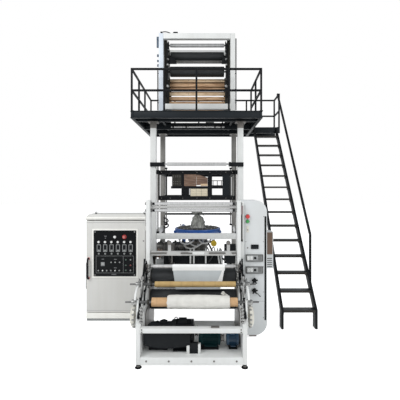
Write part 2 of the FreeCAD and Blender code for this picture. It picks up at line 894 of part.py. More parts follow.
cage_posts += [
    cage_upright("panel_left", "panel_left+panel_width", "cage_bar"),
    cage_upright("upright_left", "upright_left+upright_left_width", "cage_bar"),
    cage_upright("upright_right", "upright_right+upright_right_width", "cage_bar"),
]
cage_posts.append(box(
    ("board_left", "cage_front", MID_TOP),
    ("board_right", "cage_front+board_depth", BAR_UNDER)))
cage_posts.append(box(
    ("screen_left", "cage_front+board_depth-screen_thick", BAR_TOP),
    ("upright_right", "cage_front+board_depth", MID_LOW)))
cage_posts.append(box(
    ("gear_case_left", "cage_front", MID_TOP), ("upright_left", "cage_front+gear_case_deep", BAR_UNDER)))
node("cage_posts", group(*cage_posts))

FRONT_ARM = ("cage_front+cage_bar", "cage_front+cage_bar+arm_length")
BACK_ARM = ("cage_back-cage_bar-arm_length", "cage_back-cage_bar")
LEFT_ARM = ("-(%s)" % CAGE_POST, "-(%s)+arm_length" % CAGE_POST)
RIGHT_ARM = (CAGE_POST + "-arm_length", CAGE_POST)
ARM_TOP = "cage_low+cage_bar"
cage_arms = [
    box(("-cage_bar/2", near, "cage_low"), ("cage_bar/2", far, ARM_TOP))
    for near, far in (FRONT_ARM, BACK_ARM)
]
cage_arms += [
    box((left, "-cage_bar/2", "cage_low"), (right, "cage_bar/2", ARM_TOP))
    for left, right in (LEFT_ARM, RIGHT_ARM)
]


def cage_nut(sign_x, sign_y):
    x = "(%sscrew_x)" % sign_x
    near, far = "-screw_y-nut_half", "cage_front"
    if sign_y == "":
        near, far = "cage_back", "screw_y+nut_half"
    block = box((x + "-nut_half", near, "cage_high-nut_high"), (x + "+nut_half", far, "cage_high"))
    bore = rod("Z", (x, "(%sscrew_y)" % sign_y, "cage_high-nut_high"), "screw_radius+screw_clear", "nut_high")
    return cut(block, bore)


cage_arms += [cage_nut(sx, sy) for sx in ("-", "") for sy in ("-", "")]
node("cage_arms", group(*cage_arms))


def cage_screw(sign_x, sign_y):
    """A lifting screw with the bearing block that holds its top end on the post."""
    x = "(%sscrew_x)" % sign_x
    y = "(%sscrew_y)" % sign_y
    screw = rod("Z", (x, y, "screw_low"), "screw_radius", "screw_high-screw_low")
    left, right = ("screw_x-nut_half", POST_INNER_X)
    if sign_x == "-":
        left, right = ("-(%s)" % POST_INNER_X, "-screw_x+nut_half")
    top = box((left, y + "-nut_half", "screw_high"), (right, y + "+nut_half", "screw_high+bracket_thick"))
    foot = box((left, y + "-nut_half", "screw_low"), (right, y + "+nut_half", "screw_low+bracket_thick"))
    return fused(screw, top, foot)


node("cage_screws", group(*[cage_screw(sx, sy) for sx in ("-", "") for sy in ("-", "")]))

# Guide roller on the tower's front


def roller_bracket(sign):
    inner, outer = ("roller_bracket_x", "post_x-post_width/2")
    if sign == "-":
        inner, outer = ("-(post_x-post_width/2)", "-roller_bracket_x")
    front = "tower_roller_y-roller_bracket_depth/2"
    plate_x = "-roller_bracket_x-bracket_thick" if sign == "-" else "roller_bracket_x"
    cheek = box(
        (plate_x, front, "tower_roller_z-roller_bracket_depth/2"),
        (plate_x + "+bracket_thick", "-post_y-post_width/2", "tower_roller_z+roller_bracket_depth/2"))
    foot_low = plate_x if sign == "" else "-(post_x+post_width/2)"
    foot_high = "post_x+post_width/2" if sign == "" else "-roller_bracket_x"
    foot = box(
        (foot_low, "-post_y-post_width/2-bracket_thick", "tower_roller_z-roller_bracket_depth/2"),
        (foot_high, "-post_y-post_width/2", "tower_roller_z+roller_bracket_depth/2"))
    return fused(cheek, foot)


node("tower_roller_brackets", group(roller_bracket("-"), roller_bracket("")))
node("tower_guide_roller", roller(
    "tower_roller_y", "tower_roller_z", "tower_roller_radius", "tower_roller_half", "roller_bracket_x"))

# Die, air ring and the bag tied over the die

node("die_head", rod("Z", ("0", "0", "die_low"), "die_radius", "die_high-die_low"))
ring_section = [
    ("ring_bore", "0"), ("ring_radius-ring_step", "0"), ("ring_radius", "ring_step"),
    ("ring_radius", "ring_high-ring_low-ring_step"), ("ring_radius-ring_step", "ring_high-ring_low"),
    ("ring_inner", "ring_high-ring_low"), ("ring_bore", "ring_high-ring_low-ring_step"),
]
node("air_ring", turned(ring_section, ("0", "0", "ring_low")))
bag_section = [
    ("0", "0"), ("bag_radius", "0"), ("bag_radius*0.9", "(bag_top-ring_high)*0.55"),
    ("bag_neck", "(bag_top-ring_high)*0.8"), ("bag_neck*1.2", "bag_top-ring_high"),
    ("0", "bag_top-ring_high"),
]
bag = turned(bag_section, ("0", "0", "ring_high"))
node("die_bag", bag)

# Extruder, laid out to the left behind the control cabinet

bed = box(("base_left", "-base_half", "0"), ("base_right", "base_half", "base_high"))
stand = box(("-stand_half", "-stand_half", "base_high"), ("stand_half", "stand_half", "die_low"))
node("extruder_base", fused(bed, stand))
barrel = rod("X", ("barrel_left", "0", "barrel_z"), "barrel_radius", "-barrel_left-die_radius")
barrel_block = box(("-die_radius-barrel_radius", "-barrel_radius", "barrel_z-barrel_radius"),
                   ("0", "barrel_radius", "barrel_z+barrel_radius"))
barrel_end = cut(barrel_block, rod("Z", ("0", "0", "die_low"), "die_radius", "die_high-die_low"))
feed_block = box(
    ("barrel_left", "-barrel_radius", "base_high"),
    ("barrel_left+feed_length", "barrel_radius", "barrel_z+barrel_radius+tube"))
node("extruder_barrel", fused(barrel, barrel_end, feed_block))
gearbox = box(
    ("gearbox_left", "-gearbox_half", "base_high"), ("barrel_left", "gearbox_half", "gearbox_high"))
motor_round = rod(
    "X", ("base_left", "0", "base_high+motor_radius+tube"), "motor_radius", "gearbox_left-base_left")
motor_foot = box(
    ("base_left+tube", "-motor_radius+tube", "base_high"),
    ("gearbox_left", "motor_radius-tube", "base_high+motor_radius"))
node("extruder_drive", fused(gearbox, motor_round, motor_foot))
HOPPER_X = "(barrel_left+feed_length/2)"
FEED_TOP = "barrel_z+barrel_radius+tube"


def hopper_shape():
    """The feed hopper: a square funnel with a straight rim on a short throat."""
    x = worth(HOPPER_X)
    half = worth("hopper_half")
    neck = worth("throat_half")
    low = worth(FEED_TOP)
    top = worth("hopper_high")
    rise = (top - low) * 0.45

    def ring(reach, height):
        corners = [(-reach, -reach), (reach, -reach), (reach, reach), (-reach, reach), (-reach, -reach)]
        return Part.makePolygon([FreeCAD.Vector(x + across, along, height) for across, along in corners])
    lower = Part.makeLoft([ring(neck, low), ring(half, low + rise)], True, True)
    upper = Part.makeLoft([ring(half, low + rise), ring(half, top)], True, True)
    return lower.fuse(upper).removeSplitter()


hopper = doc.addObject("Part::Feature", "hopper")
hopper.Shape = hopper_shape()
node("feed_hopper", hopper)

# Air blower behind the tower, with its duct to the air ring

blower_box = box(
    ("blower_x-blower_half", "blower_y-blower_half", "0"),
    ("blower_x+blower_half", "blower_y+blower_half", "blower_high"))
blower_motor = rod(
    "X", ("blower_x+blower_half", "blower_y", "blower_high/2"), "blower_half*0.6", "blower_half*1.3")
blower = fused(blower_box, blower_motor)


def duct_shape():
    """The duct: up from the blower, over in an arc, and level into the ring's rim."""
    x = worth("blower_x")
    start_y = worth("blower_y")
    low = worth("blower_high")
    level = (worth("ring_low") + worth("ring_high")) / 2
    bend = 3.5 * worth("duct_radius")
    reach = math.sqrt(worth("ring_radius") ** 2 - (abs(x) + worth("duct_radius")) ** 2) - worth("duct_entry")
    up_from = FreeCAD.Vector(x, start_y, low)
    bend_start = FreeCAD.Vector(x, start_y, level - bend)
    cut_in = bend * (1 - math.sqrt(0.5))
    bend_middle = FreeCAD.Vector(x, start_y - cut_in, level - cut_in)
    bend_end = FreeCAD.Vector(x, start_y - bend, level)
    finish = FreeCAD.Vector(x, reach, level)
    path = Part.Wire([
        Part.LineSegment(up_from, bend_start).toShape(),
        Part.Arc(bend_start, bend_middle, bend_end).toShape(),
        Part.LineSegment(bend_end, finish).toShape(),
    ])
    section = Part.Wire(Part.makeCircle(worth("duct_radius"), up_from, FreeCAD.Vector(0, 0, 1)))
    tube_solid = path.makePipeShell([section], True, True)
    ring_foot = FreeCAD.Vector(0, 0, worth("ring_low"))
    ring_solid = Part.makeCylinder(worth("ring_radius"), worth("ring_high-ring_low"), ring_foot)
    return tube_solid.cut(ring_solid)


duct = doc.addObject("Part::Feature", "duct")
duct.Shape = duct_shape()
node("air_blower", fused(blower, duct))

# Winder in front of the tower

SIDE_INNER = "side_inner"
side_outline = [
    ("winder_front", "foot_high"), ("winder_back", "foot_high"),
    ("winder_back", "side_shoulder+side_back_rise"),
    ("column_back", "side_shoulder+column_root_rise"),
    ("column_back", "side_top"), ("column_front", "side_top"),
    ("column_front", "film_roller_z+bearing_room*1.6"),
    ("film_roller_y-bearing_room", "film_roller_z+bearing_room"),
    ("film_roller_y-bearing_room", "side_shoulder+side_step_rise"),
    ("winder_front+side_slope_run", "side_shoulder"),
    ("winder_front", "upper_beam_low+upper_beam"),
]
sides = [profile("YZ", side_outline, x, "side_thick") for x in ("-winder_half", "winder_half-side_thick")]
node("winder_sides", group(*sides))


def winder_beam(y, z):
    return box(("-(%s)" % SIDE_INNER, y, z), (SIDE_INNER, y + "+beam_depth_y", z + "+upper_beam"))


winder_base = box(
    ("-(%s)" % SIDE_INNER, "winder_front", "foot_high"), (SIDE_INNER, "winder_back", "foot_high+winder_beam"))
TIE_BAR_SPOT = ("-(%s)" % SIDE_INNER, "top_roller_y", "top_roller_high-top_roller_step")
tie_bar = rod("X", TIE_BAR_SPOT, "top_roller_radius", "2*(%s)" % SIDE_INNER)
WEB_BAR_Y = "(winder_back-web_bar_inset)"
WEB_BAR_TOP = "web_bar_low+web_bar_high"
web_bar = box(
    ("-(%s)" % SIDE_INNER, WEB_BAR_Y, "web_bar_low"), (SIDE_INNER, WEB_BAR_Y + "+web_bar_deep", WEB_BAR_TOP))


def web_finger(x):
    """An upright guide finger on the web bar."""
    low = (x + "-finger_width/2", WEB_BAR_Y, WEB_BAR_TOP)
    return box(low, (x + "+finger_width/2", WEB_BAR_Y + "+finger_thick", WEB_BAR_TOP + "+finger_rise"))


web_rest = fused(web_bar, web_finger("finger_left"), web_finger("finger_right"))
node("winder_beams", group(
    winder_base, winder_beam("winder_front", "upper_beam_low"),
    winder_beam("winder_back-beam_depth_y", "upper_beam_low"), tie_bar, web_rest))
levellers = [
    rod("Z", (x, y, "0"), "leveller_radius", "foot_high")
    for x in ("-(winder_half-side_thick/2)", "winder_half-side_thick/2")
    for y in ("winder_front+beam_depth_y/2", "winder_back-beam_depth_y/2")
]
HOUSING_X = "(housing_left+housing_right)/2"
HOUSING_Y = "(housing_front+housing_back)/2"
housing_foot = box(
    (HOUSING_X + "-foot_block/2", HOUSING_Y + "-foot_block/2", "0"),
    (HOUSING_X + "+foot_block/2", HOUSING_Y + "+foot_block/2", "housing_low"))
node("winder_feet", group(*(levellers + [housing_foot])))

for label, drop in (("guide_roller_top", "0"), ("guide_roller_bottom", "2")):
    height = "top_roller_high-%s*top_roller_step" % drop
    node(label, roller("top_roller_y", height, "top_roller_radius", "web_half", SIDE_INNER))

node("film_roller", roller("film_roller_y", "film_roller_z", "film_roller_radius", "web_half", SIDE_INNER))
node("upper_drum", roller("upper_drum_y", "upper_drum_z", "drum_radius", "drum_half", SIDE_INNER))
node("lower_drum", roller("lower_drum_y", "lower_drum_z", "drum_radius", "drum_half", SIDE_INNER))

# Winding shafts on swing arms outside the side frames


def winding_shaft(y, z):
    return rod("X", ("-shaft_half", y, z), "wind_shaft_radius", "2*shaft_half")


def sleeve(y, z, radius, inner, left, right):
    outer = rod("X", (left, y, z), radius, "(%s)-(%s)" % (right, left))
    return cut(outer, rod("X", (left, y, z), inner, "(%s)-(%s)" % (right, left)))


UPPER_SHAFT = ("upper_shaft_y", "upper_shaft_z")
LOWER_SHAFT = ("lower_shaft_y", "lower_shaft_z")
node("winding_shaft_upper", winding_shaft(*UPPER_SHAFT))
node("winding_core_upper", sleeve(
    *UPPER_SHAFT, "core_radius", "wind_shaft_radius", "core_shift-core_half", "core_shift+core_half"))
node("winding_shaft_lower", winding_shaft(*LOWER_SHAFT))
node("winding_core_lower", sleeve(
    *LOWER_SHAFT, "lower_core_radius", "wind_shaft_radius", "core_shift-core_half", "core_shift+core_half"))
node("film_roll", sleeve(*LOWER_SHAFT, "roll_radius", "lower_core_radius", "roll_left", "roll_right"))


def shaft_arm(sign, y, z, root_y):
    """A bar from the side frame up to a bored head that carries a winding shaft."""
    start = "winder_half" if sign == "" else "-winder_half-arm_thick"
    outline = [
        (root_y + "-arm_width/2", "arm_root_z-arm_width"), (root_y + "+arm_width/2", "arm_root_z-arm_width"),
        (y + "+arm_width/2", z + "+arm_width/2"), (y + "-arm_width/2", z + "+arm_width/2"),
    ]
    bar = profile("YZ", outline, start, "arm_thick")
    bore = rod("X", (start, y, z), "wind_shaft_radius+bearing_clear", "arm_thick")
    return cut(bar, bore)


LOWER_ROOT = "(winder_front+beam_depth_y*1.6)"
UPPER_ROOT = "(upper_shaft_y+arm_width*0.4)"
arms = [shaft_arm(sign, *LOWER_SHAFT, LOWER_ROOT) for sign in ("-", "")]
arms += [shaft_arm(sign, *UPPER_SHAFT, UPPER_ROOT) for sign in ("-", "")]
node("shaft_arms", group(*arms))


def gear_cover(sign):
    """A round cover on a hub that stands out from the side frame."""
    if sign == "-":
        disc = rod("X", ("-cover_out-cover_thick", "cover_y", "cover_z"), "cover_radius", "cover_thick")
        hub = rod("X", ("-cover_out", "cover_y", "cover_z"), "cover_hub", "cover_out-winder_half")
    else:
        disc = rod("X", ("cover_out", "cover_y", "cover_z"), "cover_radius", "cover_thick")
        hub = rod("X", ("winder_half", "cover_y", "cover_z"), "cover_hub", "cover_out-winder_half")
    return fused(disc, hub)


node("gear_covers", group(gear_cover("-"), gear_cover("")))

# Drive motors on the winder's base

BASE_TOP = "foot_high+winder_beam"


def base_motor(name):
    """A motor along X on a foot that stands on the winder's base."""
    left, right, radius, z = (name + part for part in ("_left", "_right", "_radius", "_z"))
    shell = rod("X", (left, "motor_row_y", z), radius, "%s-%s" % (right, left))
    pedestal = box(
        (left + "+motor_foot/2", "motor_row_y-%s*0.8" % radius, BASE_TOP),
        (right + "-motor_foot/2", "motor_row_y+%s*0.8" % radius, z))
    return fused(shell, pedestal)


BLACK_GEAR_SPOT = ("black_gear_left", "motor_row_y", "black_motor_z")
black_gear = rod("X", BLACK_GEAR_SPOT, "black_gear_radius", "black_motor_left-black_gear_left")
motors = [fused(base_motor("black_motor"), black_gear), base_motor("green_motor"), base_motor("blue_motor")]
node("winder_motors", group(*motors))

# Drive housing on the right of the winder


def along_y_at_corner(edge):
    first, second = edge.Vertexes[0].Point, edge.Vertexes[-1].Point
    upright = abs(first.x - second.x) < 0.01 and abs(first.z - second.z) < 0.01
    return upright and first.x > worth("housing_left") + 1


housing_outline = [
    ("housing_left", "housing_low"), ("housing_right", "housing_low"),
    ("housing_right", "housing_high"), ("housing_left", "housing_high"),
]
ROUND_CORNERS = (along_y_at_corner, "housing_round")
housing_plate = profile(
    "XZ", housing_outline, "housing_front", "housing_back-housing_front", ROUND_CORNERS)
drive_box = box(
    ("drive_box_left", "housing_back", "drive_box_low"),
    ("drive_box_right", "housing_back+drive_box_deep", "drive_box_high"))
node("drive_housing", fused(housing_plate, drive_box))
gauges = [
    box(("gauge_left", "housing_front-gauge_thick", "gauge_low+%d*gauge_step" % row),
        ("gauge_right", "housing_front", "gauge_low+%d*gauge_step+gauge_height" % row))
    for row in range(2)
]
node("housing_gauges", group(*gauges))

# Film sheet between the film roller and the drum

FILM_Y = "(film_roller_y-film_roller_radius-end_gap)"
node("film_sheet", box(
    ("sheet_left", FILM_Y + "-sheet_thick", "sheet_low"), ("sheet_right", FILM_Y, "sheet_high")))

# Control cabinet

CABINET_BACK = "(cabinet_front+cabinet_depth)"
shell_front = "(cabinet_front+door_thick+door_gap)"
shell = box(("cabinet_left", shell_front, "0"), ("cabinet_right", CABINET_BACK, "cabinet_top"))
cavity = box(
    ("cabinet_left+sheet_wall", shell_front + "-tube", "plinth_high+sheet_wall"),
    ("cabinet_right-sheet_wall", CABINET_BACK + "-sheet_wall", "cabinet_top-sheet_wall"))
hollow_shell = cut(shell, cavity)


def door_hinge(low):
    """A hinge block on the cabinet's side, beside the door's edge."""
    return box(("cabinet_right-door_gap+end_gap", "cabinet_front", low),
               ("cabinet_right+hinge_out", shell_front + "+hinge_deep", low + "+hinge_high"))


hinges = [door_hinge("door_low+hinge_high"), door_hinge("door_high-hinge_high*2")]


def roof_shape():
    """The cabinet's cap: a plate with four bevelled sides."""
    low_x = worth("cabinet_left") - worth("roof_over")
    high_x = worth("cabinet_right") + worth("roof_over")
    low_y = worth("cabinet_front")
    high_y = worth(CABINET_BACK) + worth("roof_over")
    low = worth("cabinet_top")
    top = worth("roof_high")
    bevel = worth("roof_slope")
    middle = low + (top - low) * 0.4

    def ring(inset, height):
        corners = [
            (low_x + inset, low_y + inset), (high_x - inset, low_y + inset),
            (high_x - inset, high_y - inset), (low_x + inset, high_y - inset),
            (low_x + inset, low_y + inset),
        ]
        return Part.makePolygon([FreeCAD.Vector(across, along, height) for across, along in corners])
    lower = Part.makeLoft([ring(0, low), ring(0, middle)], True, True)
    upper = Part.makeLoft([ring(0, middle), ring(bevel, top)], True, True)
    return lower.fuse(upper).removeSplitter()


roof = doc.addObject("Part::Feature", "roof")
roof.Shape = roof_shape()
node("cabinet_body", fused(hollow_shell, roof, *hinges))
node("cabinet_door", box(
    ("cabinet_left+door_gap", "cabinet_front", "door_low"),
    ("cabinet_right-door_gap", "cabinet_front+door_thick", "door_high")))
node("cabinet_panel", box(
    ("panel_x_left", "cabinet_front-panel_thick", "panel_low"),
    ("panel_x_right", "cabinet_front", "panel_high")))
handle_grip = box(
    ("handle_x-handle_bar/2", "cabinet_front-handle_out", "handle_low"),
    ("handle_x+handle_bar/2", "cabinet_front-handle_out+handle_bar", "handle_high"))
handle_stubs = [
    box(("handle_x-handle_bar/2", "cabinet_front-handle_out+handle_bar", low),
        ("handle_x+handle_bar/2", "cabinet_front", low + "+handle_bar"))
    for low in ("handle_low", "handle_high-handle_bar")
]
node("cabinet_handle", fused(handle_grip, *handle_stubs))

# Build, check and write

doc.recompute()
for item in doc.Objects:
    if "Invalid" in item.State or "Error" in item.State:
        raise SystemExit("failed object: %s %s" % (item.Label, item.State))
for item in nodes:
    shape = item.Shape
    if shape.isNull() or not shape.isValid() or not shape.Solids:
        raise SystemExit("bad shape: " + item.Label)
os.makedirs("parts", exist_ok=True)
for item in nodes:
    item.Shape.exportStep("parts/%s.step" % item.Label)
volume = sum(item.Shape.Volume for item in nodes) / 1e9
solids = sum(len(item.Shape.Solids) for item in nodes)
print("nodes", len(nodes), "solids", solids, "volume m3", round(volume, 3))
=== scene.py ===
import json
import math

import bmesh
import bpy
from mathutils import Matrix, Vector, noise

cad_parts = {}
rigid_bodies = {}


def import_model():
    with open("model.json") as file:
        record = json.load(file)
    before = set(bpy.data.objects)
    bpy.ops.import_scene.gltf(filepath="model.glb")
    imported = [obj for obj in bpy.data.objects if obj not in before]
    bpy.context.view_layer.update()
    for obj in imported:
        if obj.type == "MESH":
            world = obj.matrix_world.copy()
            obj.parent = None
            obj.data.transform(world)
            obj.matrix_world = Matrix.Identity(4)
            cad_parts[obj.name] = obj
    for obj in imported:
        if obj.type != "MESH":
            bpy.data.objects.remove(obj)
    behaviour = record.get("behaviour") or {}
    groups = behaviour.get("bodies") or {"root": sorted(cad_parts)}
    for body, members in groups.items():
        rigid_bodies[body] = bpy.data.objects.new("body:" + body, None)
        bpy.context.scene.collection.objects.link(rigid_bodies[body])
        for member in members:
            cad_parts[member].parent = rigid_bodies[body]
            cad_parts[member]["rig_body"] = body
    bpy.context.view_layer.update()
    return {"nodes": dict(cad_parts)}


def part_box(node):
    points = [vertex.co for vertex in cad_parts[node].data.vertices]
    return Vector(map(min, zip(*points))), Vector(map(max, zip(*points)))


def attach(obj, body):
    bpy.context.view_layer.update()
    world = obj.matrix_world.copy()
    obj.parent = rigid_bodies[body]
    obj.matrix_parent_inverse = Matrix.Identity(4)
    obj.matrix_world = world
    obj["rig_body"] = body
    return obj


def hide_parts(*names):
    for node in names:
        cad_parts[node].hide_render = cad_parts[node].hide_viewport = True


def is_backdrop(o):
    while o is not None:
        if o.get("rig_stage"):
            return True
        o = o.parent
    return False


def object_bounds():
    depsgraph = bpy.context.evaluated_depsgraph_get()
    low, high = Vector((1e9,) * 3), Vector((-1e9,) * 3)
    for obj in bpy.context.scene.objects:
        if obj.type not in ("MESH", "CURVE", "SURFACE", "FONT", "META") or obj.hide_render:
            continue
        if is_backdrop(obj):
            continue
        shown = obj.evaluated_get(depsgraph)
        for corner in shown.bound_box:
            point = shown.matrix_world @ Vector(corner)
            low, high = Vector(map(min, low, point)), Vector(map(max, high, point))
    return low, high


# Blown film extrusion machine: the looks around the fixed frame. Everything is in metres.

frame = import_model()
nodes = frame["nodes"]
scene = bpy.context.scene
FLOOR = 0.0
SIDES = ((-1, "left"), (1, "right"))
CORNERS = ((-1, -1), (-1, 1), (1, -1), (1, 1))
ALONG, UP, TOWARD = (1, 0, 0), (0, 0, 1), (0, -1, 0)


# Materials


def graph(name):
    material = bpy.data.materials.new(name)
    material.use_nodes = True
    tree = material.node_tree
    return material, tree, tree.nodes["Principled BSDF"]


def added(tree, kind, values=(), feeds=()):
    """A new shader node with its input values and the sockets that feed it."""
    node = tree.nodes.new("ShaderNode" + kind)
    for key, value in dict(values).items():
        node.inputs[key].default_value = value
    for key, source in dict(feeds).items():
        tree.links.new(source, node.inputs[key])
    return node


def object_space(tree):
    return added(tree, "TexCoord").outputs["Object"]


def object_noise(tree, scale, detail=4.0, stretch=(1, 1, 1)):
    shape = added(tree, "Mapping", {"Scale": stretch}, {"Vector": object_space(tree)})
    cloud = added(tree, "TexNoise", {"Scale": scale, "Detail": detail}, {"Vector": shape.outputs["Vector"]})
    return cloud.outputs["Fac"]


def ramp(tree, source, low, high, first, second):
    steps = added(tree, "ValToRGB", (), {"Fac": source})
    for stop, place, colour in zip(steps.color_ramp.elements, (low, high), (first, second)):
        stop.position = place
        stop.color = (*colour, 1)
    return steps.outputs["Color"]


def bump(tree, shader, source, strength, distance):
    lift = added(tree, "Bump", {"Strength": strength, "Distance": distance}, {"Height": source})
    tree.links.new(lift.outputs["Normal"], shader.inputs["Normal"])


def spread(tree, source, low, high):
    return added(tree, "MapRange", {"To Min": low, "To Max": high}, {"Value": source}).outputs["Result"]


def shade(colour, amount):
    return tuple(min(1.0, channel * amount) for channel in colour)


def mixed(tree, first, second, factor):
    blend = tree.nodes.new("ShaderNodeMix")
    blend.data_type = "RGBA"
    blend.blend_type = "MULTIPLY"
    blend.inputs["Factor"].default_value = factor
    tree.links.new(first, blend.inputs["A"])
    tree.links.new(second, blend.inputs["B"])
    return blend.outputs["Result"]


def paint(name, colour, rough=0.42, dirt=0.9, grain=320, coat=0.15):
    """Enamel or powder coat: cloudy tone, faint vertical runs of dust, orange-peel bump."""
    material, tree, shader = graph(name)
    clouds = ramp(tree, object_noise(tree, 2.3, 5), 0.3, 0.75, shade(colour, dirt), colour)
    runs = ramp(tree, object_noise(tree, 9, 3, (1, 1, 0.07)), 0.35, 0.6, (0.9, 0.89, 0.87), (1, 1, 1))
    tree.links.new(mixed(tree, clouds, runs, 0.35), shader.inputs["Base Color"])
    tree.links.new(spread(tree, object_noise(tree, 14, 4), rough - 0.08, rough + 0.12),
        shader.inputs["Roughness"])
    dark = max(colour) < 0.08
    shader.inputs["Specular IOR Level"].default_value = 0.08 if dark else 0.5
    shader.inputs["Coat Weight"].default_value = coat * 0.2 if dark else coat
    shader.inputs["Coat Roughness"].default_value = 0.3
    bump(tree, shader, object_noise(tree, grain, 2), 0.12, 0.0006)
    return material


def metal(name, colour, rough=0.3, along=(1, 1, 1), scratch=60, metallic=1.0):
    """Bare or plated metal with fine lines along one direction."""
    material, tree, shader = graph(name)
    tone = ramp(tree, object_noise(tree, 7, 4, along), 0.3, 0.7, shade(colour, 0.78), colour)
    tree.links.new(tone, shader.inputs["Base Color"])
    shader.inputs["Metallic"].default_value = metallic
    lines = object_noise(tree, scratch, 3, along)
    tree.links.new(spread(tree, lines, rough - 0.07, rough + 0.13), shader.inputs["Roughness"])
    bump(tree, shader, lines, 0.08, 0.0004)
    return material


def rubber(name, colour, rough=0.55):
    material, tree, shader = graph(name)
    tone = ramp(tree, object_noise(tree, 5, 6, (1, 3, 3)), 0.35, 0.75, colour, shade(colour, 1.9))
    tree.links.new(tone, shader.inputs["Base Color"])
    shader.inputs["Specular IOR Level"].default_value = 0.3
    tree.links.new(spread(tree, object_noise(tree, 11, 3), rough - 0.12, rough + 0.15),
        shader.inputs["Roughness"])
    bump(tree, shader, object_noise(tree, 240, 3), 0.1, 0.0005)
    return material


def timber(name, pale, dark):
    """Sawn slats: long grain along X, with darker figure and pores."""
    material, tree, shader = graph(name)
    figure = ramp(tree, object_noise(tree, 9, 7, (0.35, 3.5, 5)), 0.34, 0.66, dark, pale)
    pores = ramp(tree, object_noise(tree, 70, 4, (0.08, 1, 1)), 0.42, 0.55, (0.62, 0.52, 0.44), (1, 1, 1))
    tree.links.new(mixed(tree, figure, pores, 0.7), shader.inputs["Base Color"])
    shader.inputs["Roughness"].default_value = 0.6
    bump(tree, shader, object_noise(tree, 90, 4, (0.1, 1, 1)), 0.3, 0.001)
    return material


def kraft(name, colour):
    """Spirally wound paper tube."""
    material, tree, shader = graph(name)
    wave = added(tree, "TexWave", {"Scale": 1.9, "Distortion": 0.6}, {"Vector": object_space(tree)})
    wave.wave_type = "BANDS"
    wave.bands_direction = "X"
    seam = ramp(tree, wave.outputs["Fac"], 0.0, 0.05, shade(colour, 0.9), colour)
    fibres = ramp(tree, object_noise(tree, 26, 6, (0.5, 1, 1)), 0.35, 0.7, (0.8, 0.75, 0.66), (1, 1, 1))
    tree.links.new(mixed(tree, seam, fibres, 0.8), shader.inputs["Base Color"])
    shader.inputs["Roughness"].default_value = 0.7
    bump(tree, shader, object_noise(tree, 180, 3), 0.15, 0.0005)
    return material


def film(name, colour, alpha, rough=0.32, folds=0.9, grain=6):
    """Milky polyethylene film: pale, slightly see-through and softly glossy. The darker cloudy patches, as
    dark as folds sets, are painted shade in the folds along with the film's own tone.
    """
    material, tree, shader = graph(name)
    tone = ramp(tree, object_noise(tree, grain, 6, (1, 1, 0.5)), 0.3, 0.7, shade(colour, folds), colour)
    tree.links.new(tone, shader.inputs["Base Color"])
    shader.inputs["Roughness"].default_value = rough
    shader.inputs["Specular IOR Level"].default_value = 0.4
    shader.inputs["Alpha"].default_value = alpha
    shader.inputs["Subsurface Weight"].default_value = 0.25
    shader.inputs["Subsurface Radius"].default_value = (0.02, 0.02, 0.02)
    bump(tree, shader, object_noise(tree, 38, 5), 0.35, 0.002)
    return material


def chequer(name, colour):
    """Painted tread plate: two sets of raised bars at right angles."""
    material, tree, shader = graph(name)
    worn = ramp(tree, object_noise(tree, 6, 5), 0.45, 0.8, colour, shade(colour, 3.2))
    tree.links.new(worn, shader.inputs["Base Color"])
    shader.inputs["Roughness"].default_value = 0.5
    heights = []
    for turn in (0.25, -0.25):
        lay = added(tree, "Mapping", {"Rotation": (0, 0, turn * math.pi), "Scale": (14, 42, 1)},
                    {"Vector": object_space(tree)})
        dots = added(tree, "TexVoronoi", {"Randomness": 0.0, "Scale": 1.0},
            {"Vector": lay.outputs["Vector"]})
        heights.append(spread(tree, dots.outputs["Distance"], 1.0, 0.0))
    top = added(tree, "Math", (), {0: heights[0], 1: heights[1]})
    top.operation = "MAXIMUM"
    bump(tree, shader, top.outputs[0], 0.5, 0.003)
    return material


WHITE = paint("white_coat", (0.74, 0.75, 0.74), 0.4)
CABINET = paint("cabinet_coat", (0.66, 0.652, 0.625), 0.38, 0.96, 500)
PANEL = paint("housing_coat", (0.62, 0.64, 0.645), 0.36, 0.96, 420)
BLACK = paint("black_coat", (0.01, 0.011, 0.013), 0.42, 0.7, 260)
FASCIA = paint("fascia_coat", (0.018, 0.022, 0.026), 0.42, 0.75, 200)
DARK_STEEL = paint("dark_plate", (0.05, 0.048, 0.042), 0.5, 0.6, 90, 0.05)
DECK = chequer("deck_plate", (0.02, 0.022, 0.024))
STEEL = metal("ground_steel", (0.3, 0.3, 0.295), 0.32, (0.2, 1, 1), 90)
SHAFT_STEEL = metal("shaft_steel", (0.13, 0.13, 0.13), 0.3, (0.2, 1, 1), 90, 0.9)
ROLLER = metal("pale_roller", (0.58, 0.58, 0.58), 0.32, (4, 0.4, 0.4), 40, 0.45)
DULL_STEEL = metal("dull_steel", (0.19, 0.18, 0.17), 0.45, (1, 1, 1), 50, 0.85)
RUBBER = rubber("black_rubber", (0.011, 0.012, 0.013))
DRUM_RUBBER = rubber("drum_rubber", (0.026, 0.028, 0.03), 0.5)
HOSE = rubber("hose_rubber", (0.012, 0.012, 0.013), 0.45)
WOOD = timber("slat_wood", (0.66, 0.45, 0.27), (0.34, 0.19, 0.1))
PALE_WOOD = timber("pale_wood", (0.78, 0.62, 0.43), (0.56, 0.38, 0.22))
KRAFT = kraft("kraft_core", (0.58, 0.37, 0.2))
GOLD_KRAFT = kraft("gold_core", (0.5, 0.35, 0.15))
ROLL_FILM = film("rolled_film", (0.7, 0.685, 0.645), 1.0, 0.45, 0.86, 9)
SHEET_FILM = film("hanging_film", (0.6, 0.64, 0.66), 0.88)
# The bag's deep dark patches are painted shade in its crumples, partly the film's own tone.
BAG_FILM = film("bag_film", (0.6, 0.61, 0.57), 0.94, 0.28, 0.22, 11)
BLUE = paint("blue_enamel", (0.004, 0.085, 0.36), 0.35, 0.7, 240, 0.2)
MOTOR_BLACK = paint("motor_black", (0.014, 0.016, 0.018), 0.45, 0.6, 120)
# Motor green and blue are darkened below their paint colour: painted shade for the shadowed base of the
# winder.
MOTOR_GREEN = paint("motor_green", (0.005, 0.03, 0.034), 0.4, 0.6, 120)
MOTOR_BLUE = paint("motor_blue", (0.008, 0.05, 0.105), 0.4, 0.6, 120)
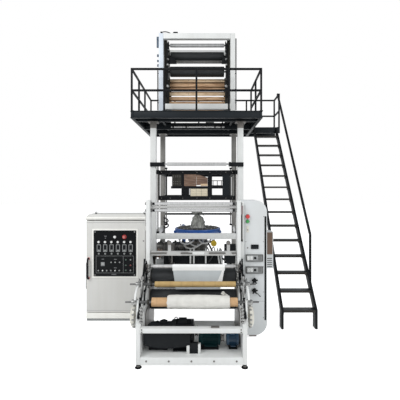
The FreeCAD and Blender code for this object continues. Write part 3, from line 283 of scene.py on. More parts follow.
MACHINE_GREY = paint("machine_grey", (0.3, 0.31, 0.31), 0.45, 0.7, 160)
PLASTIC = paint("black_plastic", (0.012, 0.013, 0.014), 0.5, 0.85, 900, 0.0)
GREY_PLASTIC = paint("grey_plastic", (0.33, 0.34, 0.34), 0.5, 0.9, 700, 0.0)
PALE_PLASTIC = paint("pale_plastic", (0.8, 0.81, 0.8), 0.45, 0.95, 700, 0.0)
RED = paint("red_button", (0.55, 0.02, 0.015), 0.3, 0.85, 300, 0.4)
GREEN = paint("green_button", (0.02, 0.3, 0.06), 0.3, 0.85, 300, 0.4)
YELLOW = paint("yellow_knob", (0.75, 0.52, 0.04), 0.35, 0.85, 300, 0.3)
# Darker grey-brown copy of the white post paint: painted shade for the back posts, which stand in shade.
SHADED_STEEL = paint("back_post_shade_coat", (0.34, 0.33, 0.31), 0.4, 0.75, 200)
# Grey-brown for the band below the front post caps: painted shadow of the deck overhead.
DECK_SHADOW_BROWN = paint("deck_shadow_coat", (0.2, 0.185, 0.17), 0.5, 0.7, 200)
# Bluish copy of the white paint for the left haul-off posts: painted cool light on the same white frame.
WHITE_COOL_CAST = paint("white_coat_cool_cast", (0.7, 0.76, 0.84), 0.4)
WORN_BLACK = paint("worn_black_coat", (0.05, 0.046, 0.042), 0.45, 0.6, 120)
CAST_GREY = paint("cast_grey", (0.2, 0.2, 0.195), 0.45, 0.7, 140)
BLUE_FITTING = paint("fitting_coat", (0.05, 0.09, 0.14), 0.4, 0.7, 300)
DARK_WOOD = timber("dark_wood", (0.3, 0.19, 0.13), (0.12, 0.07, 0.05))
TAN_SHEET = paint("tan_sheet", (0.74, 0.66, 0.5), 0.6, 0.85, 90)
PALE_STEEL = metal("pale_bar", (0.5, 0.5, 0.49), 0.4, (0.3, 1, 1), 50, 0.5)
IVORY = paint("ivory_coat", (0.66, 0.64, 0.57), 0.42)
BRIGHT = paint("bright_coat", (0.93, 0.92, 0.87), 0.36, 0.98, 400)
BROWN = paint("brown_coat", (0.12, 0.065, 0.035), 0.45, 0.7, 150)
ROSE_GREY = paint("rose_grey_coat", (0.3, 0.25, 0.25), 0.45, 0.8, 200)
INSTRUMENT = paint("instrument_coat", (0.33, 0.34, 0.34), 0.45, 0.85, 400)
METER_GREY = paint("meter_coat", (0.16, 0.165, 0.17), 0.5, 0.9, 400)
PANEL_BLACK = paint("panel_black_coat", (0.006, 0.007, 0.008), 0.4, 0.85, 700, 0.1)
PALE_RED = paint("faded_red", (0.62, 0.2, 0.18), 0.35, 0.9, 300, 0.3)
GLASS = paint("dark_glass", (0.006, 0.008, 0.01), 0.12, 0.9, 900, 0.6)
# Near-white film for the band over the film roller: painted highlight where the film takes the light.
LIT_CREST_FILM = film("crest_film_highlight", (0.93, 0.93, 0.92), 0.97)
FOLD_FILM = film("folded_film", (0.9, 0.91, 0.91), 0.95)
# Dark grey-brown for plates inside the winder's side frames: painted shade.
SHADOW_GREY = paint("shadow_grey_coat", (0.16, 0.15, 0.14), 0.45, 0.6, 120)
DIM_GREEN = paint("dim_green", (0.06, 0.12, 0.09), 0.4, 0.85, 300)
DIM_RED = paint("dim_red", (0.24, 0.035, 0.03), 0.4, 0.85, 300)
COPPER = metal("heater_band", (0.1, 0.098, 0.092), 0.38, (1, 1, 1), 30, 0.8)


# Mesh building


def turns(count):
    """The angles of even steps round a circle."""
    return [2 * math.pi * step / count for step in range(count)]


def row_faces(rows, sides):
    """Faces between closed rows of points that are numbered row by row."""
    return [(row * sides + column, row * sides + (column + 1) % sides,
             (row + 1) * sides + (column + 1) % sides, (row + 1) * sides + column)
            for row in range(rows) for column in range(sides)]


class Piece:
    """One mesh built up from bevelled blocks, turned parts, plates and tubes."""

    def __init__(self):
        self.mesh = bmesh.new()

    def block(self, low, high, bevel=0.003):
        made = bmesh.ops.create_cube(self.mesh, size=1.0)["verts"]
        ordered = [sorted(pair) for pair in zip(Vector(low), Vector(high))]
        low, high = (Vector([pair[end] for pair in ordered]) for end in (0, 1))
        middle = (low + high) / 2
        span = high - low
        for vert in made:
            vert.co = Vector((vert.co[axis] * span[axis] + middle[axis] for axis in range(3)))
        width = min(bevel, 0.45 * min(abs(side) for side in span))
        if width > 0:
            edges = list({edge for vert in made for edge in vert.link_edges})
            bmesh.ops.bevel(self.mesh, geom=edges, offset=width, segments=2, affect="EDGES", profile=0.6)
        return self

    def circle(self, centre, side, up, radius, sides):
        return [self.mesh.verts.new(centre + (side * math.cos(angle) + up * math.sin(angle)) * radius)
                for angle in turns(sides)]

    def lathe(self, start, direction, profile, sides=48):
        """Turned part: profile pairs are distance along the axis and radius."""
        axis = Vector(direction).normalized()
        side = axis.orthogonal().normalized()
        up = axis.cross(side)
        start = Vector(start)
        rings = []
        for along, radius in profile:
            centre = start + axis * along
            if radius <= 1e-6:
                rings.append([self.mesh.verts.new(centre)])
                continue
            rings.append(self.circle(centre, side, up, radius, sides))
        for first, second in zip(rings, rings[1:]):
            if len(first) == 1 and len(second) == 1:
                continue
            for step in range(sides):
                after = (step + 1) % sides
                if len(first) == 1:
                    self.mesh.faces.new((first[0], second[after], second[step]))
                elif len(second) == 1:
                    self.mesh.faces.new((first[step], first[after], second[0]))
                else:
                    self.mesh.faces.new((first[step], first[after], second[after], second[step]))
        return self

    def rod(self, start, end, radius, sides=24, chamfer=0.0):
        start, end = Vector(start), Vector(end)
        length = (end - start).length
        edge = min(chamfer if chamfer else radius * 0.12, radius * 0.4, length * 0.3)
        profile = [(0, 0), (0, radius - edge), (edge, radius), (length - edge, radius),
            (length, radius - edge), (length, 0)]
        return self.lathe(start, end - start, profile, sides)

    def turned(self, start, direction, profile, sides=48):
        """A lathe part closed by flat ends."""
        return self.lathe(start, direction, [(profile[0][0], 0), *profile, (profile[-1][0], 0)], sides)

    def band(self, centre, direction, bore, radius, width, sides=64):
        """A plain ring with a square section."""
        return self.ring(centre, direction, [(0, bore), (0, radius), (width, radius), (width, bore)], sides)

    def ring(self, centre, direction, profile, sides=64):
        """Closed turned ring: the profile runs all the way round its section."""
        return self.lathe(centre, direction, list(profile) + [profile[0]], sides)

    def plate(self, outline, plane, start, end, bevel=0.003):
        """A flat plate: outline pairs on a plane, from one level of the third axis to another."""
        def spot(first, second, level):
            if plane == "YZ":
                return Vector((level, first, second))
            if plane == "XZ":
                return Vector((first, level, second))
            return Vector((first, second, level))
        start, end = sorted((start, end))
        near = [self.mesh.verts.new(spot(a, b, start)) for a, b in outline]
        far = [self.mesh.verts.new(spot(a, b, end)) for a, b in outline]
        faces = [self.mesh.faces.new(near), self.mesh.faces.new(list(reversed(far)))]
        count = len(outline)
        for step in range(count):
            after = (step + 1) % count
            faces.append(self.mesh.faces.new((near[after], near[step], far[step], far[after])))
        bmesh.ops.recalc_face_normals(self.mesh, faces=faces)
        width = min(bevel, 0.4 * abs(end - start))
        if width > 0:
            rims = [edge for edge in faces[0].edges] + [edge for edge in faces[1].edges]
            bmesh.ops.bevel(self.mesh, geom=rims, offset=width, segments=2, affect="EDGES", profile=0.6)
        return self

    def hose(self, points, radius, sides=12, steps=8):
        """A smooth tube through points."""
        path = smooth_path([Vector(point) for point in points], steps)
        side = (path[1] - path[0]).orthogonal().normalized()
        rings = []
        for index, point in enumerate(path):
            ahead = path[min(index + 1, len(path) - 1)] - path[max(index - 1, 0)]
            ahead.normalize()
            side = (side - ahead * side.dot(ahead)).normalized()
            up = ahead.cross(side)
            rings.append(self.circle(point, side, up, radius, sides))
        for first, second in zip(rings, rings[1:]):
            for step in range(sides):
                after = (step + 1) % sides
                self.mesh.faces.new((first[step], first[after], second[after], second[step]))
        self.mesh.faces.new(list(reversed(rings[0])))
        self.mesh.faces.new(rings[-1])
        return self

    def bolt(self, spot, direction, size=0.012, height=0.009):
        """A hexagon head on a washer."""
        axis = Vector(direction).normalized()
        spot = Vector(spot)
        self.turned(spot, axis, [(0, size * 1.25), (height * 0.25, size * 1.25)], 16)
        head = [(height * 0.25, 0), (height * 0.25, size), (height * 0.95, size),
            (height * 1.2, size * 0.8), (height * 1.2, 0)]
        return self.lathe(spot, axis, head, 6)

    def done(self, name, material, slot, body="frame", angle=35, hides=()):
        bmesh.ops.recalc_face_normals(self.mesh, faces=self.mesh.faces)
        data = bpy.data.meshes.new(name)
        self.mesh.to_mesh(data)
        self.mesh.free()
        return finish_piece(name, data, body, material, angle, hides)


def finish_piece(name, data, body, material, angle=35, hides=()):
    for polygon in data.polygons:
        polygon.use_smooth = True
    data.set_sharp_from_angle(angle=math.radians(angle))
    data.materials.clear()
    data.materials.append(material)
    item = bpy.data.objects.new(name, data)
    scene.collection.objects.link(item)
    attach(item, body)
    if hides:
        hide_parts(*hides)
    return item


def skin(name, verts, faces, body, material, hides=()):
    """A film piece made from its points and faces."""
    data = bpy.data.meshes.new(name)
    data.from_pydata(verts, [], faces)
    data.update()
    return finish_piece(name, data, body, material, 60, hides)


def smooth_path(points, steps):
    """Catmull-Rom points through a route."""
    path = []
    last = len(points) - 1
    for index in range(last):
        before = points[max(index - 1, 0)]
        first, second = points[index], points[index + 1]
        after = points[min(index + 2, last)]
        for step in range(steps):
            t = step / steps
            spot = 0.5 * (
                2 * first + (second - before) * t
                + (2 * before - 5 * first + 4 * second - after) * t * t
                + (3 * first - before - 3 * second + after) * t ** 3)
            path.append(spot)
    path.append(points[last])
    return path


def softened(node, name, material, width=0.004, segments=2, pick=None):
    """The node's own shape with its edges broken, in place of the sharp one."""
    shape = bmesh.new()
    shape.from_mesh(nodes[node].data)
    bmesh.ops.remove_doubles(shape, verts=shape.verts, dist=1e-5)
    if pick is not None:
        away = [vert for vert in shape.verts if not pick(vert.co)]
        bmesh.ops.delete(shape, geom=away, context="VERTS")
    bmesh.ops.dissolve_limit(shape, angle_limit=math.radians(1), verts=shape.verts, edges=shape.edges)
    sharp = [edge for edge in shape.edges
        if len(edge.link_faces) == 2 and edge.calc_face_angle() > math.radians(40)]
    bmesh.ops.bevel(
        shape, geom=sharp, offset=width, segments=segments, affect="EDGES", profile=0.6, clamp_overlap=True)
    data = bpy.data.meshes.new(name)
    shape.to_mesh(data)
    shape.free()
    body = nodes[node]["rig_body"]
    return finish_piece(name, data, body, material, 32, (node,))


def box_of(node):
    low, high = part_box(node)
    return low, high, (low + high) / 2


def middle_of(node):
    return box_of(node)[2]


# Tower and platform

tower_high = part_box("tower_posts")[1]
POST = 0.125
FOOT_PLATE = 0.23
POST_X = tower_high.x - FOOT_PLATE / 2
POST_Y = tower_high.y - FOOT_PLATE / 2
softened("tower_posts", "front_posts", WHITE, 0.006, pick=lambda spot: spot.y < 0)
# The back posts take the darker coat as painted shade.
softened("tower_posts", "back_posts", SHADED_STEEL, 0.006, pick=lambda spot: spot.y > 0)
softened("tower_beams", "front_beam", WHITE, 0.005, pick=lambda spot: spot.z < 1.5)
softened("tower_beams", "back_bar", BLACK, 0.004, pick=lambda spot: spot.z > 1.5)

fixings = Piece()
for sign_x, sign_y in CORNERS:
    for step_x, step_y in CORNERS:
        x, y = sign_x * POST_X + step_x * 0.09, sign_y * POST_Y + step_y * 0.09
        fixings.bolt((x, y, 0.02), UP, 0.014, 0.016)
        fixings.bolt((x, y, tower_high.z - 0.02), (0, 0, -1), 0.011, 0.012)
fixings.done("tower_bolts", DULL_STEEL, "bare_steel")

gussets = Piece()
for sign_x, sign_y in CORNERS:
    for turn in (-1, 1):
        edge = sign_x * POST_X + turn * POST / 2
        rim = [(edge, 0.02), (edge + turn * 0.045, 0.02), (edge, 0.13)]
        gussets.plate(rim, "XZ", sign_y * POST_Y - 0.005, sign_y * POST_Y + 0.005, 0.002)
gussets.done("post_gussets", WHITE, "white_paint")

# Thin bands round the front post tops, a little proud of the posts, coloured as painted shadow of the deck
# above them.
collars = Piece()
for sign_x in (-1, 1):
    x, y = sign_x * POST_X, -POST_Y
    collars.block((x - POST / 2 - 0.002, y - POST / 2 - 0.002, tower_high.z - 0.15),
                  (x + POST / 2 + 0.002, y + POST / 2 + 0.002, tower_high.z - 0.021), 0.004)
collars.done("post_top_shadow_bands", DECK_SHADOW_BROWN, "tower_paint")
caps = Piece()
for sign_x in (-1, 1):
    x, y = sign_x * POST_X, -POST_Y
    caps.block((x - 0.112, y - 0.112, tower_high.z - 0.0215), (x + 0.112, y + 0.112, tower_high.z - 0.002))
caps.done("post_cap_plates", DULL_STEEL, "tower_paint")

softened("platform_side_channels", "side_channels", FASCIA, 0.005)
softened("platform_cross_channels", "cross_channels", FASCIA, 0.005)
deck_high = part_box("platform_deck_sides")[1]
side_low, side_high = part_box("platform_side_channels")
LIP = 0.012
lips = Piece()
for level in (side_low.z + 0.004, side_high.z - 0.01):
    lips.block((side_low.x, side_low.y - LIP, level), (side_high.x, side_low.y + 0.002, level + 0.01))
    for x, out in ((side_low.x, -LIP), (side_high.x, LIP)):
        lips.block((x, side_low.y, level), (x + out, side_high.y, level + 0.01))
lips.done("channel_lips", FASCIA, "black_paint")
softened("platform_deck_sides", "deck_side_plates", DECK, 0.002)
softened("platform_deck_ends", "deck_end_plates", DECK, 0.002)

stiffeners = Piece()
for x in (-1.12, -0.8, 0.8, 1.12):
    stiffeners.block((x - 0.004, side_low.y + 0.07, side_high.z - 0.075),
        (x + 0.004, side_high.y - 0.07, side_high.z - 0.001), 0.001)
    stiffeners.block((x - 0.025, side_low.y + 0.07, side_high.z - 0.079),
        (x + 0.025, side_high.y - 0.07, side_high.z - 0.074), 0.001)
stiffeners.done("deck_stiffeners", FASCIA, "black_paint")

WEB_BAR_X, WEB_BAR_Z, WEB_BAR_Y = 0.66, side_low.z + 0.05, 0.055
Piece().rod((-WEB_BAR_X, WEB_BAR_Y, WEB_BAR_Z), (WEB_BAR_X, WEB_BAR_Y, WEB_BAR_Z), 0.021,
    32).done("deck_web_guide", ROLLER, "roller_chrome")
hangers = Piece()
for x in (-0.61, -0.29, 0.43, 0.58):
    hangers.block((x - 0.012, WEB_BAR_Y - 0.006, WEB_BAR_Z),
        (x + 0.012, WEB_BAR_Y + 0.006, side_high.z + 0.002), 0.002)
    hangers.lathe((x - 0.016, WEB_BAR_Y, WEB_BAR_Z), ALONG,
        [(0, 0.02), (0, 0.029), (0.032, 0.029), (0.032, 0.02)], 24)
hangers.done("web_guide_hangers", BLACK, "black_paint")

# Railings

softened("railing_posts", "railing_post_tubes", BLACK, 0.006, 3)
softened("railing_cross_rails", "cross_rail_tubes", BLACK, 0.006, 3)
softened("railing_side_rails", "side_rail_tubes", BLACK, 0.006, 3)
post_spots = []
shape = bmesh.new()
shape.from_mesh(nodes["railing_posts"].data)
for vert in shape.verts:
    if abs(vert.co.z - deck_high.z) < 1e-4:
        spot = (round(vert.co.x, 3), round(vert.co.y, 3))
        if not any(abs(spot[0] - x) < 0.06 and abs(spot[1] - y) < 0.06 for x, y in post_spots):
            post_spots.append(spot)
corner_sets = {}
for vert in shape.verts:
    if abs(vert.co.z - deck_high.z) < 1e-4:
        for index, (x, y) in enumerate(post_spots):
            if abs(vert.co.x - x) < 0.06 and abs(vert.co.y - y) < 0.06:
                corner_sets.setdefault(index, []).append(vert.co.copy())
shape.free()
RAIL_FOOT, LANDING_END = 0.036, 2.18
foot_plates = Piece()
foot_bolts = Piece()
for corners in corner_sets.values():
    middle = sum(corners, Vector()) / len(corners)
    x = min(max(middle.x, side_low.x + RAIL_FOOT), LANDING_END - RAIL_FOOT)
    y = min(max(middle.y, side_low.y + RAIL_FOOT), side_high.y - RAIL_FOOT)
    foot_plates.block((x - RAIL_FOOT, y - RAIL_FOOT, deck_high.z),
        (x + RAIL_FOOT, y + RAIL_FOOT, deck_high.z + 0.006), 0.002)
    for step in (-0.027, 0.027):
        foot_bolts.bolt((x + step, y - step, deck_high.z + 0.006), UP, 0.005, 0.005)
foot_plates.done("railing_feet", BLACK, "black_paint")
foot_bolts.done("railing_foot_bolts", DULL_STEEL, "bare_steel")

# Stair

tread_low, tread_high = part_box("stair_treads")
softened("stair_treads", "tread_plates", DECK, 0.003)
softened("stair_stringers", "stringer_channels", BLACK, 0.004)
softened("stair_handrail", "handrail_tube", BLACK, 0.007, 3)
levels = sorted({round(vert.co.z, 4) for vert in nodes["stair_treads"].data.vertices})
tops = levels[1::2]
TREAD_COUNT = len(tops)
TREAD_DEPTH = 0.15
GOING = (tread_high.y - tread_low.y - TREAD_DEPTH) / (TREAD_COUNT - 1)
noses = Piece()
cleats = Piece()
tread_bolts = Piece()
for step, top in enumerate(tops):
    front = tread_low.y + step * GOING
    noses.block((tread_low.x, front - 0.004, top - 0.036),
        (tread_high.x, front + 0.003, top + 0.002), 0.0015)
    noses.block((tread_low.x, front + TREAD_DEPTH - 0.004, top - 0.036),
        (tread_high.x, front + TREAD_DEPTH, top + 0.001), 0.0015)
    for side, inward in ((tread_low.x, 1), (tread_high.x, -1)):
        cleats.block((side, front + 0.01, top - 0.075),
            (side + inward * 0.005, front + TREAD_DEPTH - 0.01, top - 0.028), 0.001)
        for along in (0.04, 0.11):
            tread_bolts.bolt((side + inward * 0.005, front + along, top - 0.055),
                (inward, 0, 0), 0.006, 0.006)
noses.done("tread_noses", WORN_BLACK, "black_paint")
cleats.done("tread_cleats", BLACK, "black_paint")
tread_bolts.done("tread_bolts", DULL_STEEL, "bare_steel")

# Haul-off frame

nip_low, nip_high, nip_middle = box_of("nip_frame_posts")
NIP_POST = 0.1
# Left posts take the bluish copy of the white coat as painted light; right posts take the plain white.
softened("nip_frame_posts", "haul_posts", WHITE_COOL_CAST, 0.006, pick=lambda spot: spot.x < 0)
softened("nip_frame_posts", "haul_posts_right", WHITE, 0.006, pick=lambda spot: spot.x > 0)
softened("nip_frame_beams", "haul_beams", WHITE, 0.006)
plate_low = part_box("nip_side_plates")[0]
softened("nip_side_plates", "haul_side_plates", DARK_STEEL, 0.004)
softened("collapsing_rails", "board_rails", DARK_STEEL, 0.004)

feet = Piece()
foot_heads = Piece()
for x in (nip_low.x + NIP_POST / 2, nip_high.x - NIP_POST / 2):
    for y in (nip_low.y + NIP_POST / 2, nip_high.y - NIP_POST / 2):
        feet.block((x - 0.08, y - 0.08, nip_low.z), (x + 0.08, y + 0.08, nip_low.z + 0.012))
        for step_x, step_y in CORNERS:
            foot_heads.bolt((x + step_x * 0.065, y + step_y * 0.065, nip_low.z + 0.012), UP, 0.009, 0.01)
feet.done("haul_feet", WHITE, "white_paint")
foot_heads.done("haul_foot_bolts", DULL_STEEL, "bare_steel")

slat_low, slat_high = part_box("collapsing_slats")
SLATS = 7
pitch = (slat_high.z - slat_low.z + 0.034) / SLATS
half_y = nip_middle.y
# Every third front slat is pale timber: partly the boards' own tone, partly a painted highlight for their
# lit faces.
for index in range(SLATS):
    floor_z = slat_low.z + pitch * index - 0.01
    for side, wood in ((-1, (PALE_WOOD, WOOD, WOOD)[index % 3]), (1, WOOD)):
        softened(
            "collapsing_slats", "slat_%d_%s" % (index + 1, "front" if side < 0 else "back"), wood,
            0.006,
            pick=lambda spot, z=floor_z,
            s=side: z < spot.z < z + pitch - 0.001 and (spot.y - half_y) * s > 0)
WIDE_GAP, NARROW_GAP = 0.3, 0.06
BOARD_FOOT, BOARD_RISE = 4.18, 0.8
screws = Piece()
for index in range(SLATS):
    z = slat_low.z + pitch * index + 0.04
    gap = WIDE_GAP + (NARROW_GAP - WIDE_GAP) * (z - BOARD_FOOT) / BOARD_RISE
    for x in (-0.6, -0.2, 0.2, 0.6):
        screws.turned((x, half_y - gap - 0.0255, z), TOWARD, [(0, 0.009), (0.004, 0.006)], 12)
screws.done("slat_screws", DULL_STEEL, "bare_steel")


def turned_roller(node, name, material, slot, shaft=0.018):
    """A roller in place of its node: face with chamfered ends, stepped journals."""
    low, high, middle = box_of(node)
    half = (high.x - low.x) / 2
    outer = (high.z - low.z) / 2
    rim = [abs(vert.co.x - middle.x) for vert in nodes[node].data.vertices
           if math.hypot(vert.co.y - middle.y, vert.co.z - middle.z) > outer * 0.9]
    face = max(rim)
    edge = outer * 0.06
    boss = min(outer * 0.8, shaft * 1.7)
    near, far = half - face, half + face
    profile = [
        (0, 0), (0, shaft - 0.002), (0.002, shaft), (near - 0.006, shaft),
        (near - 0.006, boss), (near, boss),
        (near, outer - edge), (near + edge, outer), (far - edge, outer), (far, outer - edge), (far, boss),
        (far + 0.006, boss), (far + 0.006, shaft), (2 * half - 0.002, shaft), (2 * half, shaft - 0.002),
        (2 * half, 0),
    ]
    piece = Piece().lathe((low.x, middle.y, middle.z), ALONG, profile, 64)
    return piece.done(name, material, slot, nodes[node]["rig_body"], 30, (node,))


for node, name, material, slot in (
        ("nip_roller_rubber", "nip_rubber_face", RUBBER, "roller_rubber"),
        ("nip_roller_steel", "nip_steel_face", ROLLER, "roller_chrome"),
        ("draw_roller", "draw_face", RUBBER, "roller_rubber"),
        ("haul_guide_roller", "haul_guide_face", ROLLER, "roller_chrome"),
        ("tower_guide_roller", "tower_guide_face", ROLLER, "roller_chrome"),
        ("guide_roller_top", "guide_top_face", ROLLER, "roller_chrome"),
        ("guide_roller_bottom", "guide_bottom_face", ROLLER, "roller_chrome"),
        ("film_roller", "film_roller_face", ROLLER, "roller_chrome"),
        ("upper_drum", "upper_drum_face", DRUM_RUBBER, "roller_rubber"),
        ("lower_drum", "lower_drum_face", DRUM_RUBBER, "roller_rubber")):
    turned_roller(node, name, material, slot)


def flange_bearing(x, y, z, inward, size, name, shaft=0.018):
    """A four-bolt flange bearing on an upright face, open round the journal."""
    housing = Piece()
    hole = shaft + 0.0015
    profile = [(0, size * 0.62), (0.012, size * 0.62), (0.02, size * 0.5), (0.026, size * 0.46),
        (0.026, hole), (0, hole)]
    housing.ring((x, y, z), (inward, 0, 0), profile, 40)
    for step_y, step_z in CORNERS:
        spot = Vector((x, y + step_y * size * 0.62, z + step_z * size * 0.62))
        housing.turned(spot, (inward, 0, 0), [(0, size * 0.24), (0.011, size * 0.24)], 20)
        housing.bolt(spot + Vector((inward * 0.011, 0, 0)), (inward, 0, 0), size * 0.11, 0.008)
    housing.done(name, CAST_GREY, "bare_steel", angle=30)


for node, size in (("nip_roller_rubber", 0.075), ("draw_roller", 0.08), ("haul_guide_roller", 0.05)):
    low, high, middle = box_of(node)
    for sign, side in SIDES:
        flange_bearing(sign * plate_low.x * -1, middle.y, middle.z, -sign, size,
            "%s_bearing_%s" % (node, side))

arms = Piece()
for sign in (-1, 1):
    reach = 0.22 if sign < 0 else 0.13
    edge = 0.684 * sign
    inner = edge - sign * reach
    curve = [(edge, 5.395), (edge - sign * 0.05, 5.392)]
    for step in range(7):
        angle = math.pi / 2 * step / 6
        curve.append((edge - sign * (0.05 + (reach - 0.05) * math.sin(angle)),
            5.225 + 0.16 * math.cos(angle)))
    curve.append((edge, 5.225))
    arms.plate(curve, "XZ", -0.7, -0.665, 0.004)
    arms.hose([(edge, -0.7, 5.33), (edge - sign * 0.03, -0.76, 5.22), (edge - sign * 0.01, -0.74, 5.02),
        (edge, -0.7, 4.86)], 0.012)
    arms.block((edge, -0.76, 4.45), (edge - sign * 0.03, -0.72, 5.65), 0.004)
arms.done("nip_swing_arms", BLACK, "black_paint")

cylinders = Piece()
rods = Piece()
for sign in (-1, 1):
    x = sign * 0.655
    cylinders.rod((x, -0.76, 5.3), (x, -0.6, 5.36), 0.024, 28)
    rods.rod((x, -0.6, 5.36), (x, -0.5, 5.395), 0.008, 16)
    for z in (4.62, 4.86, 5.1, 5.3, 5.52):
        rods.bolt((sign * 0.654, -0.742, z), (-sign, 0, 0), 0.011, 0.012)
    for z, outer, inner in ((4.7, 0.03, 0.02), (5.18, 0.024, 0.015)):
        rods.turned((x, -0.762, z), TOWARD, [(0, outer), (0.006, outer), (0.012, inner)], 24)
cylinders.done("nip_cylinders", CAST_GREY, "bare_steel")
rods.done("nip_rods", STEEL, "bare_steel")

brackets = Piece()
guide_middle = middle_of("haul_guide_roller")
for sign in (-1, 1):
    x = sign * 0.65
    outline = [(guide_middle.y - 0.055, guide_middle.z + 0.02), (guide_middle.y - 0.03, 5.6),
        (guide_middle.y - 0.09, 5.5),
               (guide_middle.y - 0.16, 5.52), (guide_middle.y - 0.13, 5.66),
               (guide_middle.y - 0.1, guide_middle.z + 0.05)]
    brackets.plate(outline, "YZ", x - 0.012, x + 0.012)
    brackets.block((x, guide_middle.y - 0.13, 5.58), (x + sign * 0.036, guide_middle.y - 0.1, 5.7))
brackets.done("guide_roller_hangers", BLACK, "black_paint")

conduits = Piece()
for x, levels in ((nip_high.x + 0.022, (4.9, 5.35, 5.73)), (nip_low.x - 0.022, (4.5, 4.8, 5.02))):
    conduits.hose([(x, nip_low.y + 0.03, z) for z in (nip_low.z + 0.1, *levels)], 0.013)
for x in (nip_high.x + 0.018, nip_low.x - 0.018):
    for z in (4.3, 4.6, 4.95):
        conduits.block((x - 0.018, nip_low.y + 0.012, z), (x + 0.018, nip_low.y + 0.048, z + 0.012), 0.002)
conduits.done("post_conduits", HOSE, "black_plastic")

fittings = Piece()
for z, radius, length in ((5.62, 0.028, 0.16), (5.36, 0.02, 0.05), (5.24, 0.018, 0.04), (5.14, 0.016, 0.05),
        (5.05, 0.014, 0.03)):
    fittings.rod((nip_low.x - 0.024, nip_low.y + 0.05, z - length / 2),
        (nip_low.x - 0.024, nip_low.y + 0.05, z + length / 2), radius, 24)
fittings.block((nip_low.x - 0.05, nip_low.y + 0.02, 5.7), (nip_low.x, nip_low.y + 0.08, 5.77), 0.005)
fittings.done("air_fittings", BLUE_FITTING, "black_plastic")

crown = Piece()
crown.block((-0.81, nip_low.y + 0.02, nip_high.z), (-0.77, nip_low.y + 0.09, nip_high.z + 0.045), 0.006)
crown.hose([(-0.79, nip_low.y + 0.05, nip_high.z + 0.03), (-0.74, nip_low.y + 0.05, nip_high.z + 0.05),
            (-0.66, nip_low.y + 0.05, nip_high.z + 0.045), (-0.58, nip_low.y + 0.05, nip_high.z + 0.012)],
            0.01)
crown.block((-0.53, nip_low.y + 0.02, nip_high.z), (-0.42, nip_low.y + 0.09, nip_high.z + 0.03), 0.006)
crown.rod((-0.52, nip_low.y + 0.055, nip_high.z + 0.035),
    (-0.43, nip_low.y + 0.055, nip_high.z + 0.035), 0.018, 24)
crown.done("frame_top_valve", BLACK, "black_paint")


def finned_motor(name, low_x, high_x, y, z, radius, material, slot, hides=(), body="frame",
        fins=26, eye=True):
    """An electric motor along X: finned shell, end bells, fan cowl, terminal box and lifting eye."""
    motor = Piece()
    length = high_x - low_x
    cowl = length * 0.2
    motor.turned((low_x, y, z), ALONG, [
        (0, radius * 0.86), (cowl * 0.3, radius * 0.97), (cowl, radius * 0.97), (cowl, radius * 0.86),
        (length - 0.035, radius * 0.86), (length - 0.035, radius * 0.98), (length - 0.012, radius * 0.98),
        (length, radius * 0.7)], 48)
    for angle in turns(fins):
        out = Vector((0, math.cos(angle), math.sin(angle)))
        across = Vector((0, -math.sin(angle), math.cos(angle))) * radius * 0.02
        base = Vector((low_x + cowl + 0.004, y, z))
        tip = Vector((low_x + length - 0.04, y, z))
        corners = [base + out * radius * 0.8, tip + out * radius * 0.8, tip + out * radius * 0.985,
            base + out * radius * 0.985]
        near = [motor.mesh.verts.new(corner + across) for corner in corners]
        far = [motor.mesh.verts.new(corner - across) for corner in corners]
        motor.mesh.faces.new(near)
        motor.mesh.faces.new(list(reversed(far)))
        for index in range(4):
            after = (index + 1) % 4
            motor.mesh.faces.new((near[after], near[index], far[index], far[after]))
    middle = (low_x + high_x) / 2
    motor.block((middle - length * 0.2, y - radius * 0.5, z + radius * 0.8),
        (middle + length * 0.16, y + radius * 0.5, z + radius * 0.99), 0.006)
    motor.block((low_x + cowl + 0.02, y - radius * 0.75, z - radius * 1.0),
        (high_x - 0.05, y + radius * 0.75, z - radius * 0.8), 0.006)
    if eye:
        ring = []
        for step in range(13):
            angle = 2 * math.pi * step / 12
            ring.append((middle + 0.02 * math.cos(angle) - length * 0.3, y,
                z + radius + 0.012 + 0.02 * math.sin(angle)))
        motor.hose(ring, 0.006, 8, 2)
    return motor.done(name, material, slot, body, 30, hides)


haul_low, _, haul_middle = box_of("haul_motor")
softened("haul_motor", "haul_gearbox", MACHINE_GREY, 0.008,
    pick=lambda spot: spot.x > 0.1999)
finned_motor("haul_motor_shell", haul_low.x, 0.205, haul_middle.y, haul_low.z + 0.189, 0.09, MOTOR_BLUE,
    "motor_paint", eye=False)


# Bubble cage: rails, uprights, timber packing, gear case and screen, all riding on the lift

CAGE = "bubble_cage"
cage_low, cage_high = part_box("cage_bars")
CAGE_BAR, CAGE_RAIL = 0.04, 0.09
front_y = cage_low.y
softened("cage_bars", "cage_rails", BLACK, 0.005)
softened("cage_arms", "cage_arms_and_nuts", BLACK, 0.003)
uprights = Piece()
for x in (cage_low.x, cage_high.x - CAGE_BAR):
    for y in (cage_low.y, cage_high.y - CAGE_BAR):
        uprights.block((x, y, cage_low.z), (x + CAGE_BAR, y + CAGE_BAR, cage_high.z), 0.005)
UNDER, OVER = cage_high.z - CAGE_RAIL, cage_low.z + CAGE_RAIL
for left, right in ((-0.35, -0.29), (0.24, 0.34)):
    uprights.block((left, front_y, OVER), (right, front_y + CAGE_BAR, UNDER), 0.004)
uprights.done("cage_uprights", BLACK, "black_paint", CAGE, 35, ("cage_posts",))

side_panel = Piece()
side_panel.block((0.573, front_y + 0.006, OVER), (0.731, front_y + CAGE_BAR, UNDER))
for x in (0.573, 0.612, 0.652, 0.692, 0.721):
    side_panel.block((x, front_y, OVER), (x + 0.01, front_y + 0.008, UNDER), 0.002)
side_panel.done("cage_side_panel", FASCIA, "black_paint", CAGE)

